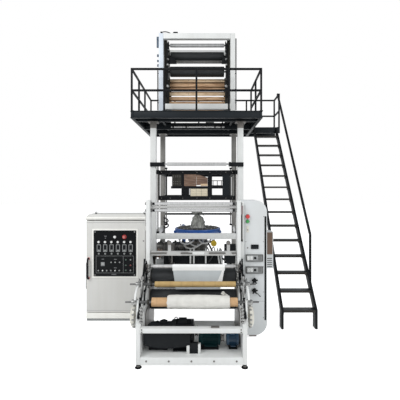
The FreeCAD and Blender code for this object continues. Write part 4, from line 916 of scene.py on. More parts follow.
MID_LOW, MID_TOP = OVER + 0.17, OVER + 0.225
Piece().block((-0.289, front_y + 0.001, MID_TOP), (-0.015, front_y + 0.026, UNDER),
    0.004).done("cage_timber", DARK_WOOD, "slat_wood", CAGE)
Piece().plate([(-0.012, MID_TOP + 0.02), (-0.012, UNDER - 0.01), (0.05, UNDER - 0.012),
    (0.238, UNDER - 0.075),
                       (0.238, MID_TOP + 0.035)], "XZ", front_y + 0.004,
                       front_y + 0.024).done("cage_timber_wedge", DARK_WOOD, "slat_wood", CAGE)
Piece().block((0.08, front_y + 0.001, MID_TOP + 0.004),
    (0.238, front_y + 0.02, MID_TOP + 0.05)).done("cage_timber_strip", PALE_WOOD, "slat_wood", CAGE)
Piece().block((-0.146, front_y + 0.013, OVER), (0.24, front_y + 0.025, MID_LOW), 0.002).done("cage_screen",
    TAN_SHEET, "slat_wood", CAGE)
seams = Piece()
for x in (-0.02, 0.1):
    seams.block((x, front_y + 0.0115, OVER + 0.002), (x + 0.003, front_y + 0.0135, MID_LOW - 0.002), 0)
for z in (OVER + 0.05, OVER + 0.11):
    seams.block((-0.144, front_y + 0.0115, z), (0.238, front_y + 0.0135, z + 0.002), 0)
seams.done("cage_screen_seams", DARK_STEEL, "black_paint", CAGE)

case = Piece()
case.block((-0.562, front_y + 0.004, MID_TOP), (-0.35, front_y + 0.09, UNDER), 0.008)
case.block((-0.545, front_y - 0.004, MID_TOP + 0.02), (-0.46, front_y + 0.006, UNDER - 0.02), 0.004)
case.block((-0.45, front_y - 0.004, MID_TOP + 0.02), (-0.365, front_y + 0.006, UNDER - 0.02), 0.004)
case.done("cage_gear_case", DARK_STEEL, "black_paint", CAGE)
rivets = Piece()
for x in (-0.53, -0.475, -0.435, -0.38):
    for z in (MID_TOP + 0.05, MID_TOP + 0.1, UNDER - 0.06, UNDER - 0.035):
        rivets.bolt((x, front_y - 0.004, z), TOWARD, 0.008, 0.007)
for x in (-0.8, -0.6, -0.32, 0.0, 0.29, 0.65, 0.8):
    for z in (cage_low.z + 0.045, cage_high.z - 0.045):
        rivets.bolt((x, front_y, z), TOWARD, 0.009, 0.008)
for x in (-0.25, -0.06):
    for z in (MID_TOP + 0.05, UNDER - 0.05):
        rivets.bolt((x, front_y + 0.001, z), TOWARD, 0.008, 0.007)
rivets.done("cage_bolts", DULL_STEEL, "bare_steel", CAGE)

guards = Piece()
for x in (0.355, 0.45, 0.545):
    guards.block((x, front_y + 0.006, MID_TOP), (x + 0.014, front_y + 0.03, MID_TOP + 0.125))
guards.block((0.342, front_y + 0.006, MID_TOP + 0.115), (0.571, front_y + 0.03, MID_TOP + 0.13))
guards.block((0.342, front_y + 0.002, MID_TOP + 0.0), (0.571, front_y + 0.034, MID_TOP + 0.02))
guards.block((-0.289, front_y + 0.006, OVER), (-0.175, front_y + 0.03, MID_LOW))
guards.block((-0.165, front_y + 0.008, OVER), (-0.15, front_y + 0.028, MID_LOW))
guards.done("cage_guards", BLACK, "black_paint", CAGE)

pads = Piece()
for x, y, half_x, half_y in ((0, -0.37, 0.15, 0), (0, 0.37, 0.15, 0), (-0.51, 0, 0, 0.15),
        (0.51, 0, 0, 0.15)):
    pads.rod((x - half_x, y - half_y, cage_low.z + 0.02),
        (x + half_x, y + half_y, cage_low.z + 0.02), 0.022, 28)
pads.done("cage_guide_rollers", ROLLER, "roller_chrome", CAGE)

softened("tower_roller_brackets", "tower_roller_hangers", BLACK, 0.004)
screw_low, screw_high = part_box("cage_screws")
SCREW_X, SCREW_Y, SCREW_RADIUS = 0.87, 0.8, 0.016
screw_blocks = Piece()
threads = Piece()
length = screw_high.z - screw_low.z - 0.08
TURNS = 60
profile = []
for step in range(TURNS):
    base = length * step / TURNS
    profile += [(base, SCREW_RADIUS * 0.8), (base + length / TURNS * 0.3, SCREW_RADIUS),
                (base + length / TURNS * 0.7, SCREW_RADIUS)]
profile.append((length, SCREW_RADIUS * 0.8))
for sign_x, sign_y in CORNERS:
    x, y = sign_x * SCREW_X, sign_y * SCREW_Y
    for low_z in (screw_low.z, screw_high.z - 0.04):
        screw_blocks.block((x - sign_x * 0.027, y - 0.027, low_z),
            (sign_x * 0.9025, y + 0.027, low_z + 0.04), 0.004)
    threads.turned((x, y, screw_low.z + 0.04), UP, profile, 14)
screw_blocks.done("screw_blocks", BLACK, "bare_steel", hides=("cage_screws",))
threads.done("screw_threads", DULL_STEEL, "bare_steel", angle=30, hides=("cage_screws",))

# Die, air ring and the bag tied over the die

ring_low, ring_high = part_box("air_ring")
RING = ring_high.x
ring_profile = [
    (0.0, 0.132), (0.0, RING - 0.035), (0.012, RING - 0.012), (0.035, RING), (0.115, RING),
    (0.122, RING - 0.006),
    (0.128, RING), (0.145, RING - 0.004), (0.155, RING - 0.03), (0.15, RING - 0.06), (0.148, RING - 0.2),
    (0.14, RING - 0.26), (0.152, RING - 0.3), (0.155, 0.18), (0.12, 0.132)]
Piece().ring((0, 0, ring_low.z), UP, ring_profile, 96).done("air_ring_shell", BLUE, "blue_paint",
    hides=("air_ring",))
Piece().ring((0, 0, ring_high.z - 0.012), UP,
    [(0, 0.2), (0.0, RING - 0.05), (0.014, RING - 0.055), (0.022, RING - 0.12),
                                                         (0.022, 0.24), (0.014, 0.2)],
                                                         80).done("air_ring_cover", DARK_STEEL,
                                                             "machine_grey")
ring_bolts = Piece()
for angle in turns(24):
    ring_bolts.bolt((0.47 * math.cos(angle), 0.47 * math.sin(angle), ring_high.z + 0.008), UP, 0.011, 0.012)
for step in range(12):
    angle = 2 * math.pi * (step + 0.5) / 12
    ring_bolts.bolt((0.28 * math.cos(angle), 0.28 * math.sin(angle), ring_high.z + 0.01), UP, 0.009, 0.01)
ring_bolts.done("air_ring_bolts", STEEL, "bare_steel")
inlets = Piece()
for angle_deg in (200, 245, 295, 340, 25, 155):
    angle = math.radians(angle_deg)
    out = Vector((math.cos(angle), math.sin(angle), 0))
    inlets.rod(out * (RING - 0.02) + Vector((0, 0, ring_low.z + 0.075)),
        out * (RING + 0.045) + Vector((0, 0, ring_low.z + 0.075)), 0.034, 28)
inlets.done("air_ring_inlets", BLUE, "blue_paint")
pin = Piece()
pin.rod((-0.4, -0.32, ring_high.z - 0.01), (-0.4, -0.32, ring_high.z + 0.1), 0.008, 16)
pin.turned((-0.4, -0.32, ring_high.z + 0.1), UP, [(0, 0.016), (0.018, 0.016), (0.024, 0.008)], 18)
for x in (-0.3, 0.22):
    pin.rod((x, -0.44, ring_high.z + 0.006), (x, -0.44, ring_high.z + 0.03), 0.018, 20)
pin.done("air_ring_pins", DULL_STEEL, "bare_steel")

bag_low, bag_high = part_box("die_bag")


def crumpled_bag():
    """The film tail gathered over the die: a cone of folds drawn into a neck, with a loose ruff on top."""
    rings, sides = 46, 120
    height = bag_high.z - bag_low.z
    verts = []
    for row in range(rings + 1):
        share = row / rings
        if share < 0.62:
            base = 0.186 - 0.05 * (share / 0.62) ** 1.5
        elif share < 0.8:
            base = 0.136 - 0.075 * (share - 0.62) / 0.18
        else:
            base = 0.061 + 0.085 * math.sin((share - 0.8) / 0.2 * math.pi / 2)
        for column in range(sides):
            angle = 2 * math.pi * column / sides
            spot = Vector((math.cos(angle) * 1.6, math.sin(angle) * 1.6, share * 2.2))
            fold = 0.5 + 0.5 * math.sin(angle * 13 + 4 * noise.noise(spot) + share * 3.0)
            crease = noise.fractal(spot * 3.1, 0.9, 2.0, 4)
            depth = 0.18 + 0.25 * min(1.0, max(0.0, (share - 0.3) / 0.4))
            radius = base * (1 - depth * fold * 0.7 + 0.16 * crease)
            sway = Vector((0.02 * math.sin(share * 5), 0.012 * math.cos(share * 4), 0)) * share
            lift = 0.02 * noise.noise(spot * 2.3) * (1 if share > 0.85 else share)
            z = bag_low.z + height * share * 0.985 + lift - (0.006 if row == rings else 0)
            verts.append((radius * math.cos(angle) + sway.x, radius * math.sin(angle) + sway.y,
                min(z, bag_high.z + 0.004)))
    faces = row_faces(rings, sides)
    top = rings * sides
    verts.append((0.012, 0.0, bag_high.z - 0.05))
    for column in range(sides):
        faces.append((top + column, top + (column + 1) % sides, len(verts) - 1))
    return skin("film_bag", verts, faces, "frame", BAG_FILM, ("die_bag",))


crumpled_bag()
tie = Piece().ring((0.013, 0.0, bag_low.z + 0.318), UP,
    [(0, 0.052), (0, 0.068), (0.018, 0.07), (0.018, 0.052)], 40)
tie.hose([(0.05, -0.045, bag_low.z + 0.325), (0.11, -0.09, bag_low.z + 0.33),
    (0.16, -0.1, bag_low.z + 0.29), (0.19, -0.12, bag_low.z + 0.3)], 0.005, 8)
tie.done("bag_tie", HOSE, "black_plastic")

die_low, die_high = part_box("die_head")
DIE = die_high.x
Piece().turned((0, 0, die_low.z), UP, [
    (0, DIE - 0.01), (0.01, DIE), (0.06, DIE), (0.065, DIE - 0.03), (0.11, DIE - 0.03), (0.115, DIE),
    (0.3, DIE), (0.305, DIE - 0.03),
    (0.35, DIE - 0.03), (0.355, DIE), (0.5, DIE), (0.525, DIE - 0.03)], 72).done("die_body", DULL_STEEL,
        "bare_steel", angle=30, hides=("die_head",))
bands = Piece()
for z in (die_low.z + 0.125, die_low.z + 0.205, die_low.z + 0.365, die_low.z + 0.435):
    bands.band((0, 0, z), UP, DIE - 0.002, DIE + 0.01, 0.062, 72)
    for angle_deg in (235, 300, 20):
        angle = math.radians(angle_deg)
        spot = Vector((math.cos(angle), math.sin(angle), 0)) * (DIE + 0.018)
        bands.block((spot.x - 0.022, spot.y - 0.016, z + 0.008),
            (spot.x + 0.022, spot.y + 0.016, z + 0.054), 0.004)
bands.done("die_heater_bands", COPPER, "machine_grey")
leads = Piece()
starts = [(math.radians(angle), z) for angle,
    z in ((235, 0.16), (300, 0.16), (235, 0.4), (300, 0.4), (265, 0.24), (280, 0.47),
        (210, 0.3), (325, 0.3))]
for number, (angle, rise) in enumerate(starts):
    out = Vector((math.cos(angle), math.sin(angle), 0))
    begin = out * (DIE + 0.03) + Vector((0, 0, die_low.z + rise))
    leads.hose([begin, begin + out * 0.09 + Vector((0, 0, -0.03)),
        begin + out * 0.11 + Vector((0.03 * (number - 4) / 4, 0, -0.14)),
                Vector((begin.x * 1.2, begin.y * 1.1, die_low.z - 0.05)),
                Vector((begin.x * 0.8, -0.2, die_low.z - 0.141))], 0.009, 8, 6)
leads.done("die_heater_leads", HOSE, "black_plastic")

# Extruder

base_low, base_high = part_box("extruder_base")
BED_TOP = 0.62
GEARBOX_END = -2.15
softened("extruder_base", "extruder_bed", MACHINE_GREY, 0.008)
panels = Piece()
for left in (-2.6, -2.02, -1.44, -0.86, -0.28):
    for face, out in ((base_low.y, -1), (base_high.y, 1)):
        panels.block((left, face, 0.1), (min(left + 0.52, 0.27), face + out * 0.004, 0.54), 0.002)
panels.done("bed_panels", FASCIA, "machine_grey")
louvres = Piece()
for left in (-2.5, -1.92, -1.34, -0.76):
    for row in range(6):
        louvres.block((left, base_low.y - 0.012, 0.2 + row * 0.035),
            (left + 0.32, base_low.y - 0.003, 0.212 + row * 0.035))
louvres.done("bed_louvres", DARK_STEEL, "machine_grey")

softened("extruder_barrel", "barrel_block", DULL_STEEL, 0.006)
zones = Piece()
zone_boxes = Piece()
BARREL_Z, BARREL = 0.95, 0.11
for left in (-1.34, -1.16, -0.98, -0.8, -0.62, -0.44):
    zones.band((left, 0, BARREL_Z), ALONG, BARREL - 0.001, BARREL + 0.03, 0.14, 56)
    zone_boxes.block((left + 0.045, -0.03, BARREL_Z + BARREL + 0.028),
        (left + 0.095, 0.03, BARREL_Z + BARREL + 0.06), 0.005)
    zone_boxes.rod((left + 0.07, 0, BARREL_Z - BARREL - 0.09),
        (left + 0.07, 0, BARREL_Z - BARREL - 0.03), 0.045, 24)
zones.done("barrel_heaters", COPPER, "machine_grey")
zone_boxes.done("barrel_terminals", DARK_STEEL, "machine_grey")
softened("extruder_drive", "gearbox_case", MACHINE_GREY, 0.01,
    pick=lambda spot: spot.x > GEARBOX_END - 0.0001)
finned_motor("extruder_motor", base_low.x, GEARBOX_END + 0.001, 0.0, BED_TOP + 0.19, 0.15, MOTOR_BLUE,
    "machine_grey", fins=32)
Piece().block((base_low.x + 0.04, -0.11, BED_TOP), (-2.15, 0.11, BED_TOP + 0.06),
    0.006).done("extruder_motor_base", MACHINE_GREY, "machine_grey")
ribs = Piece()
for x in (-2.1, -1.98, -1.86, -1.74):
    for side in (-1, 1):
        ribs.block((x, side * 0.196, 0.66), (x + 0.018, side * 0.188, 1.2))
ribs.block((-2.13, -0.2, 1.222), (-1.67, 0.2, 1.236), 0.004)
ribs.done("gearbox_ribs", MACHINE_GREY, "machine_grey")

hopper_low, hopper_high, hopper_middle = box_of("feed_hopper")
softened("feed_hopper", "hopper_shell", STEEL, 0.004)
rim = Piece()
hx, hy, hz, half = hopper_middle.x, hopper_middle.y, hopper_high.z, hopper_high.x - hopper_middle.x
rim.block((hx - half - 0.012, hy - half - 0.012, hz - 0.03),
    (hx + half + 0.012, hy + half + 0.012, hz - 0.008), 0.004)
rim.block((hx - half + 0.02, hy - half + 0.02, hz - 0.01),
    (hx + half - 0.02, hy + half - 0.02, hz + 0.012), 0.008)
rim.hose([(hx - 0.07, hy, hz + 0.01), (hx - 0.06, hy, hz + 0.045), (hx + 0.06, hy, hz + 0.045),
    (hx + 0.07, hy, hz + 0.01)], 0.008)
rim.block((hx - 0.085, hy - 0.085, hopper_low.z - 0.002), (hx + 0.085, hy + 0.085, hopper_low.z + 0.014))
rim.done("hopper_rim", STEEL, "machine_grey")
Piece().block((hx - 0.03, hy - half - 0.003, hz - 0.27),
    (hx + 0.03, hy - half + 0.002, hz - 0.06)).done("hopper_sight_glass", PLASTIC, "black_plastic")

softened("air_blower", "blower_set", BLUE, 0.005)
finned_motor("blower_motor", -0.23, 0.017, 1.18, 0.28, 0.114, MOTOR_BLUE, "motor_paint", fins=24, eye=False)
blower_trim = Piece()
for step in range(10):
    blower_trim.block((-0.6, 0.985, 0.1 + step * 0.03), (-0.24, 0.991, 0.112 + step * 0.03))
blower_trim.band((-0.42, 1.18, 0.56), UP, 0.055, 0.085, 0.014, 32)
blower_trim.done("blower_grille", DARK_STEEL, "machine_grey")

# Machinery seen under the front beam: hose loops, valves and brackets round the extruder

clutter = Piece()
clutter.hose([(-0.92, 0.7, 1.62), (-0.84, 0.62, 1.6), (-0.8, 0.6, 1.54), (-0.86, 0.6, 1.49),
    (-0.92, 0.66, 1.52)], 0.018)
clutter.hose([(-0.92, 0.7, 1.5), (-0.83, 0.6, 1.48), (-0.79, 0.6, 1.42), (-0.86, 0.6, 1.36),
    (-0.92, 0.66, 1.4)], 0.018)
clutter.block((-0.905, 0.6, 1.25), (-0.895, 0.74, 1.68))
clutter.hose([(-0.62, -0.36, 0.62), (-0.66, -0.44, 0.85), (-0.55, -0.46, 1.05), (-0.4, -0.48, 1.16)], 0.02)
clutter.hose([(0.24, -0.3, 0.62), (0.36, -0.4, 0.84), (0.3, -0.44, 1.04), (0.22, -0.42, 1.18)], 0.02)
clutter.done("hose_loops", HOSE, "black_plastic")
valve_block = Piece()
valve_block.block((-0.66, -0.62, 0.92), (-0.52, -0.48, 1.13), 0.01)
valve_block.rod((-0.59, -0.5, 0.62), (-0.59, -0.5, 0.93), 0.022, 24)
valve_block.block((-0.64, -0.55, 0.6), (-0.54, -0.27, 0.66), 0.006)
valve_block.done("valve_block", DULL_STEEL, "bare_steel")
Piece().turned((0.385, -0.4, 1.12), TOWARD,
    [(0, 0.03), (0.035, 0.03), (0.035, 0.066), (0.065, 0.07), (0.078, 0.055)], 40).done("yellow_valve_knob",
        YELLOW, "machine_grey")
stem = Piece().rod((0.385, -0.24, 1.12), (0.385, -0.4, 1.12), 0.02, 24)
stem.rod((0.18, -0.16, 1.12), (0.4, -0.25, 1.12), 0.028, 24)
stem.block((0.35, -0.3, 1.06), (0.42, -0.24, 1.18), 0.006)
stem.done("valve_stem", DULL_STEEL, "bare_steel")

bright_pipes = Piece()
for left, right, top, sag in ((-0.42, -0.08, 1.2, 0.1), (-0.18, 0.14, 1.17, 0.12), (0.04, 0.32, 1.21, 0.09),
        (-0.3, 0.02, 1.06, 0.06)):
    middle_x = (left + right) / 2
    bright_pipes.hose([(left, -0.36, top), (left + 0.03, -0.42, top - sag * 0.6),
        (middle_x, -0.44, top - sag),
                       (right - 0.03, -0.42, top - sag * 0.4), (right, -0.34, top + 0.01)], 0.019, 16, 8)
for x, z in ((-0.42, 1.2), (0.14, 1.18), (0.32, 1.22), (-0.3, 1.06), (0.02, 1.07)):
    bright_pipes.turned((x, -0.35, z), TOWARD, [(0, 0.03), (0.028, 0.03), (0.034, 0.022)], 6)
bright_pipes.done("bright_air_pipes", PALE_STEEL, "bare_steel", angle=40)
trunk = Piece()
TRUNK_Y = base_low.y - 0.004
trunk.block((-0.8, TRUNK_Y - 0.07, 0.585), (0.6, TRUNK_Y, 0.8), 0.006)
for step in range(15):
    x = -0.76 + step * 0.093
    trunk.block((x, TRUNK_Y - 0.078, 0.6), (x + 0.045, TRUNK_Y - 0.068, 0.785))
trunk.hose([(0.59, TRUNK_Y - 0.04, 0.74), (0.66, TRUNK_Y - 0.1, 0.7), (0.74, -0.6, 0.64),
    (0.76, -0.72, 0.72)], 0.022, 16, 8)
trunk.done("cable_trunking", MOTOR_BLACK, "black_plastic")
loops = Piece()
for step, x in enumerate((-0.7, -0.52, -0.36, -0.2, 0.2, 0.34, 0.5)):
    loops.hose([(x, TRUNK_Y - 0.035, 0.79), (x + 0.01, TRUNK_Y - 0.04, 0.9 + 0.03 * (step % 3)),
                (x + 0.05, TRUNK_Y - 0.01, 0.97 + 0.03 * (step % 2)), (x + 0.08, TRUNK_Y + 0.02, 0.88),
                (x + 0.07, TRUNK_Y - 0.03, 0.79)], 0.011, 10, 6)
loops.done("trunking_cable_loops", HOSE, "black_plastic")

# Winder frame

frame_low, frame_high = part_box("winder_sides")
OUTER, INNER = frame_high.x, frame_high.x - 0.06
FRONT, BACK = frame_low.y, frame_high.y
softened("winder_sides", "side_frames", WHITE, 0.007)
softened("winder_beams", "winder_cross_beams", WHITE, 0.006, pick=lambda spot: spot.z < 1.3)
softened("winder_beams", "web_rest_bar", PALE_STEEL, 0.005,
    pick=lambda spot: 1.3 < spot.z < 2.0)
top_low, _, top_middle = box_of("guide_roller_top")
low_middle = middle_of("guide_roller_bottom")
Piece().rod((-INNER, top_middle.y, (top_middle.z + low_middle.z) / 2),
    (INNER, top_middle.y, (top_middle.z + low_middle.z) / 2),
                  top_middle.z - top_low.z, 48).done("top_tie_bar", PALE_STEEL, "white_paint",
                      hides=("winder_beams",))
softened("winder_feet", "winder_levellers", DULL_STEEL, 0.002)
pads = Piece()
for x in (-OUTER + 0.03, OUTER - 0.03):
    for y in (FRONT + 0.045, BACK - 0.045):
        pads.turned((x, y, 0), UP, [(0, 0.045), (0.008, 0.045), (0.014, 0.024)], 32)
        pads.turned((x, y, 0.036), UP, [(0, 0.034), (0.014, 0.034)], 6)
pads.done("leveller_pads", BLACK, "bare_steel")

caps = Piece()
cap_bolts = Piece()
for node, size in (("film_roller", 0.042), ("upper_drum", 0.075), ("lower_drum", 0.075),
        ("guide_roller_top", 0.034), ("guide_roller_bottom", 0.034)):
    low, high, middle = box_of(node)
    for sign in (-1, 1):
        x = sign * OUTER
        caps.lathe((x, middle.y, middle.z), (sign, 0, 0),
            [(0, 0), (0, size), (0.012, size), (0.018, size * 0.8), (0.03, size * 0.55), (0.032, 0)], 40)
        for step in range(4):
            angle = math.pi / 4 + step * math.pi / 2
            cap_bolts.bolt((x + sign * 0.012, middle.y + size * 0.82 * math.cos(angle),
                middle.z + size * 0.82 * math.sin(angle)),
                           (sign, 0, 0), size * 0.09, 0.006)
caps.done("side_bearing_caps", CAST_GREY, "bare_steel", angle=30)
cap_bolts.done("side_cap_bolts", STEEL, "bare_steel")
for node, size in (("film_roller", 0.042), ("guide_roller_top", 0.03), ("guide_roller_bottom", 0.03)):
    low, high, middle = box_of(node)
    for sign, side in SIDES:
        flange_bearing(sign * INNER, middle.y, middle.z, -sign, size, "%s_bearing_%s" % (node, side))


def toothed(piece, centre, axis, radius, thick, teeth):
    """A sprocket or gear: a plate whose rim rises and falls once for each tooth."""
    x, y, z = centre
    outline = []
    for step in range(teeth):
        for part, share in ((0.0, 0.9), (0.28, 0.9), (0.4, 1.0), (0.75, 1.0)):
            angle = 2 * math.pi * (step + part) / teeth
            outline.append((y + radius * share * math.cos(angle), z + radius * share * math.sin(angle)))
    piece.plate(outline, "YZ", x, x + axis * thick, 0.001)
    piece.turned((x, y, z), (axis, 0, 0), [(0, radius * 0.4), (thick * 1.7, radius * 0.4)], 24)


def chain(piece, start, end, x, radius_a, radius_b, thick=0.014):
    """The two straight runs of a roller chain, one block for each link."""
    start, end = Vector(start), Vector(end)
    along = (end - start).normalized()
    across = Vector((-along.y, along.x))
    for sign in (1, -1):
        first, last = start + across * radius_a * sign, end + across * radius_b * sign
        length = (last - first).length
        count = max(2, int(length / 0.019))
        for step in range(count):
            spot = first.lerp(last, (step + 0.5) / count)
            piece.block((x - thick / 2, spot.x - 0.008, spot.y - 0.008),
                (x + thick / 2, spot.x + 0.008, spot.y + 0.008))


upper_drum = middle_of("upper_drum")
lower_drum = middle_of("lower_drum")
film_roller = middle_of("film_roller")
upper_shaft = middle_of("winding_shaft_upper")
lower_shaft = middle_of("winding_shaft_lower")
SPINDLE_Y = -3.7
for sign, side in SIDES:
    wheels = Piece()
    links = Piece()
    bright = Piece()
    face = sign * (OUTER + 0.034)
    for y, z, radius, teeth in ((upper_drum.y, upper_drum.z, 0.085, 22),
            (lower_drum.y, lower_drum.z, 0.085, 22),
                                (film_roller.y - 0.03, 1.02, 0.05, 14),
                                (film_roller.y - 0.12, 0.86, 0.06, 16)):
        toothed(wheels, (face, y, z), sign, radius, 0.012, teeth)
    wheels.done("drive_sprockets_" + side, DARK_STEEL, "bare_steel")
    chain(links, (upper_drum.y, upper_drum.z), (lower_drum.y, lower_drum.z),
        face + sign * 0.006, 0.085, 0.085)
    links.done("drive_chain_" + side, DULL_STEEL, "bare_steel")

    # Parts on the front edge of the side frame: spindle with collars, cylinder, lever and knobs
    x = sign * (INNER + 0.005)
    for z in (0.58, 0.62, 0.665, 0.71, 0.755):
        bright.turned((x, SPINDLE_Y, z), UP,
            [(0, 0.013), (0.004, 0.022), (0.022, 0.022), (0.026, 0.013)], 20)
    bright.rod((x, SPINDLE_Y, 0.537), (x, SPINDLE_Y, 0.8), 0.01, 16)
    bright.rod((x + sign * 0.05, -3.6, 0.7), (x + sign * 0.05, -3.33, 1.06), 0.01, 16)
    bright.turned((x + sign * 0.05, -3.33, 1.06), (0, 0.4, 0.9),
        [(0, 0.02), (0.01, 0.024), (0.04, 0.024), (0.05, 0.018)], 24)
    for y, z, radius in ((-3.2, 1.08, 0.03), (-3.13, 1.15, 0.036), (-3.12, 1.02, 0.028),
            (-3.19, 0.92, 0.024)):
        bright.turned((sign * INNER, y, z), (-sign, 0, 0), [
            (0, radius), (0.01, radius), (0.014, radius * 0.7), (0.022, radius * 0.6),
            (0.026, radius * 0.3)], 28)
    bright.done("front_spindle_" + side, STEEL, "bare_steel", angle=30)

    dark = Piece()
    dark.rod((x + sign * 0.045, -3.66, 0.62), (x + sign * 0.045, -3.49, 0.85), 0.02, 24)
    rail = sign * (OUTER + 0.001)
    dark.plate([(-3.42, 0.74), (-3.34, 0.74), (-3.08, 1.14), (-3.02, 1.3), (-3.09, 1.32), (-3.16, 1.18)],
        "YZ", rail, rail + sign * 0.018, 0.004)
    front = Piece()
    dark.hose([(sign * 0.7, -3.36, 0.7), (sign * 0.71, -3.3, 0.82), (sign * 0.7, -3.18, 0.98),
        (sign * 0.7, -3.12, 1.14)], 0.011)
    dark.hose([(sign * 0.72, -3.08, 1.28), (sign * 0.73, -3.14, 1.2), (sign * 0.72, -3.12, 1.06),
        (sign * 0.73, -3.2, 0.94)], 0.009)
    for y, z, radius in ((-3.16, 1.19, 0.02), (-3.115, 1.26, 0.017), (-3.24, 0.88, 0.018)):
        dark.turned((sign * (OUTER - 0.03), y - 0.02, z), TOWARD,
            [(0, radius), (0.02, radius), (0.03, radius * 0.7)], 20)
    dark.done("front_linkage_" + side, BLACK, "black_plastic")
    front.block((sign * INNER, -3.125, 1.1), (sign * OUTER, -3.108, 1.24), 0.006)
    for z in (1.12, 1.17, 1.22):
        front.bolt((sign * (INNER + 0.015), -3.125, z), TOWARD, 0.01, 0.01)
        front.bolt((sign * (OUTER - 0.015), -3.125, z), TOWARD, 0.01, 0.01)
    front.done("front_bracket_" + side, DULL_STEEL, "bare_steel")

    # Curved guard outside the winding arm
    arm = Piece()
    guard = []
    for begin, sweep, reach in ((18, 80, 0.2), (98, -80, 0.165)):
        for step in range(9):
            angle = math.radians(begin + sweep * step / 8)
            guard.append((-3.44 - reach * math.cos(angle), 0.8 + reach * math.sin(angle)))
    arm.plate(guard, "YZ", sign * (OUTER + 0.028), sign * (OUTER + 0.055), 0.004)
    arm.done("arm_guard_" + side, WHITE, "white_paint")

    clamp = Piece()
    for spot in (upper_shaft, lower_shaft):
        clamp.ring((sign * (OUTER + 0.026), spot.y, spot.z), (sign, 0, 0), [
            (0, 0.0215), (0, 0.044), (0.012, 0.048), (0.04, 0.048), (0.05, 0.036), (0.078, 0.032),
            (0.078, 0.0215)], 40)
        clamp.block((sign * 0.78, spot.y - 0.02, spot.z + 0.04),
            (sign * 0.806, spot.y + 0.02, spot.z + 0.066), 0.005)
        clamp.rod((sign * 0.793, spot.y, spot.z + 0.06),
            (sign * 0.793, spot.y - 0.05, spot.z + 0.1), 0.006, 14)
    clamp.done("shaft_clamps_" + side, STEEL, "bare_steel", angle=30)

softened("shaft_arms", "shaft_arm_bars", WHITE, 0.004)

cover_low, cover_high, cover_middle = box_of("gear_covers")
RADIUS = (cover_high.z - cover_low.z) / 2
for sign, side in SIDES:
    dome = Piece().lathe((sign * 0.8, cover_middle.y, cover_middle.z), (sign, 0, 0), [
        (0, 0), (0, RADIUS), (0.02, RADIUS), (0.03, RADIUS * 0.985), (0.042, RADIUS * 0.93),
        (0.056, RADIUS * 0.78),
        (0.064, RADIUS * 0.55), (0.069, RADIUS * 0.28), (0.07, 0)], 64)
    dome.rod((sign * 0.742, cover_middle.y, cover_middle.z),
        (sign * 0.802, cover_middle.y, cover_middle.z), 0.025, 32)
    dome.done("gear_cover_" + side, IVORY, "white_paint", angle=40, hides=("gear_covers",))
    rim = Piece()
    for angle in turns(14):
        spot = (sign * 0.795, cover_middle.y + (RADIUS + 0.004) * math.cos(angle),
            cover_middle.z + (RADIUS + 0.004) * math.sin(angle))
        rim.turned(spot, (sign, 0, 0), [(0, 0.012), (0.026, 0.012), (0.03, 0.007)], 14)
    rim.done("gear_cover_studs_" + side, STEEL, "bare_steel")


def sleeve_piece(node, name, material, slot, hole, edge=0.002):
    """A paper core: a tube with slightly broken ends."""
    low, high, middle = box_of(node)
    radius, length = (high.z - low.z) / 2, high.x - low.x
    profile = [(0, hole), (0, radius - edge), (edge, radius), (length - edge, radius),
        (length, radius - edge), (length, hole)]
    Piece().ring((low.x, middle.y, middle.z), ALONG, profile, 72).done(name, material, slot,
        nodes[node]["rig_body"], 30, (node,))


sleeve_piece("winding_core_upper", "upper_core_tube", GOLD_KRAFT, "paper_core", 0.0202)
sleeve_piece("winding_core_lower", "lower_core_tube", KRAFT, "paper_core", 0.0202)
for node, name in (("winding_shaft_upper", "upper_shaft_bar"), ("winding_shaft_lower", "lower_shaft_bar")):
    low, high, middle = box_of(node)
    length = high.x - low.x
    radius = (high.z - low.z) / 2
    Piece().turned((low.x, middle.y, middle.z), ALONG, [
        (0, radius * 0.55), (0.004, radius * 0.62), (0.085, radius * 0.62), (0.085, radius - 0.002),
        (0.088, radius),
        (length - 0.088, radius), (length - 0.085, radius - 0.002), (length - 0.085, radius * 0.62),
        (length - 0.004, radius * 0.62), (length, radius * 0.55)], 40).done(name, SHAFT_STEEL, "bare_steel",
            nodes[node]["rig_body"], 30, (node,))
    collars = Piece()
    for x, way in ((low.x + 0.335 - 0.028, 1), (high.x - 0.335 + 0.028, -1)):
        collars.ring((x, middle.y, middle.z), (way, 0, 0),
            [(0, 0.0195), (0, 0.033), (0.003, 0.036), (0.022, 0.036), (0.026, 0.03), (0.026, 0.0195)], 32)
    collars.done(name + "_collars", DARK_STEEL, "bare_steel", nodes[node]["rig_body"])

# Film: roll, tail and hanging sheet

roll_low, roll_high, roll_middle = box_of("film_roll")
ROLL = (roll_high.z - roll_low.z) / 2


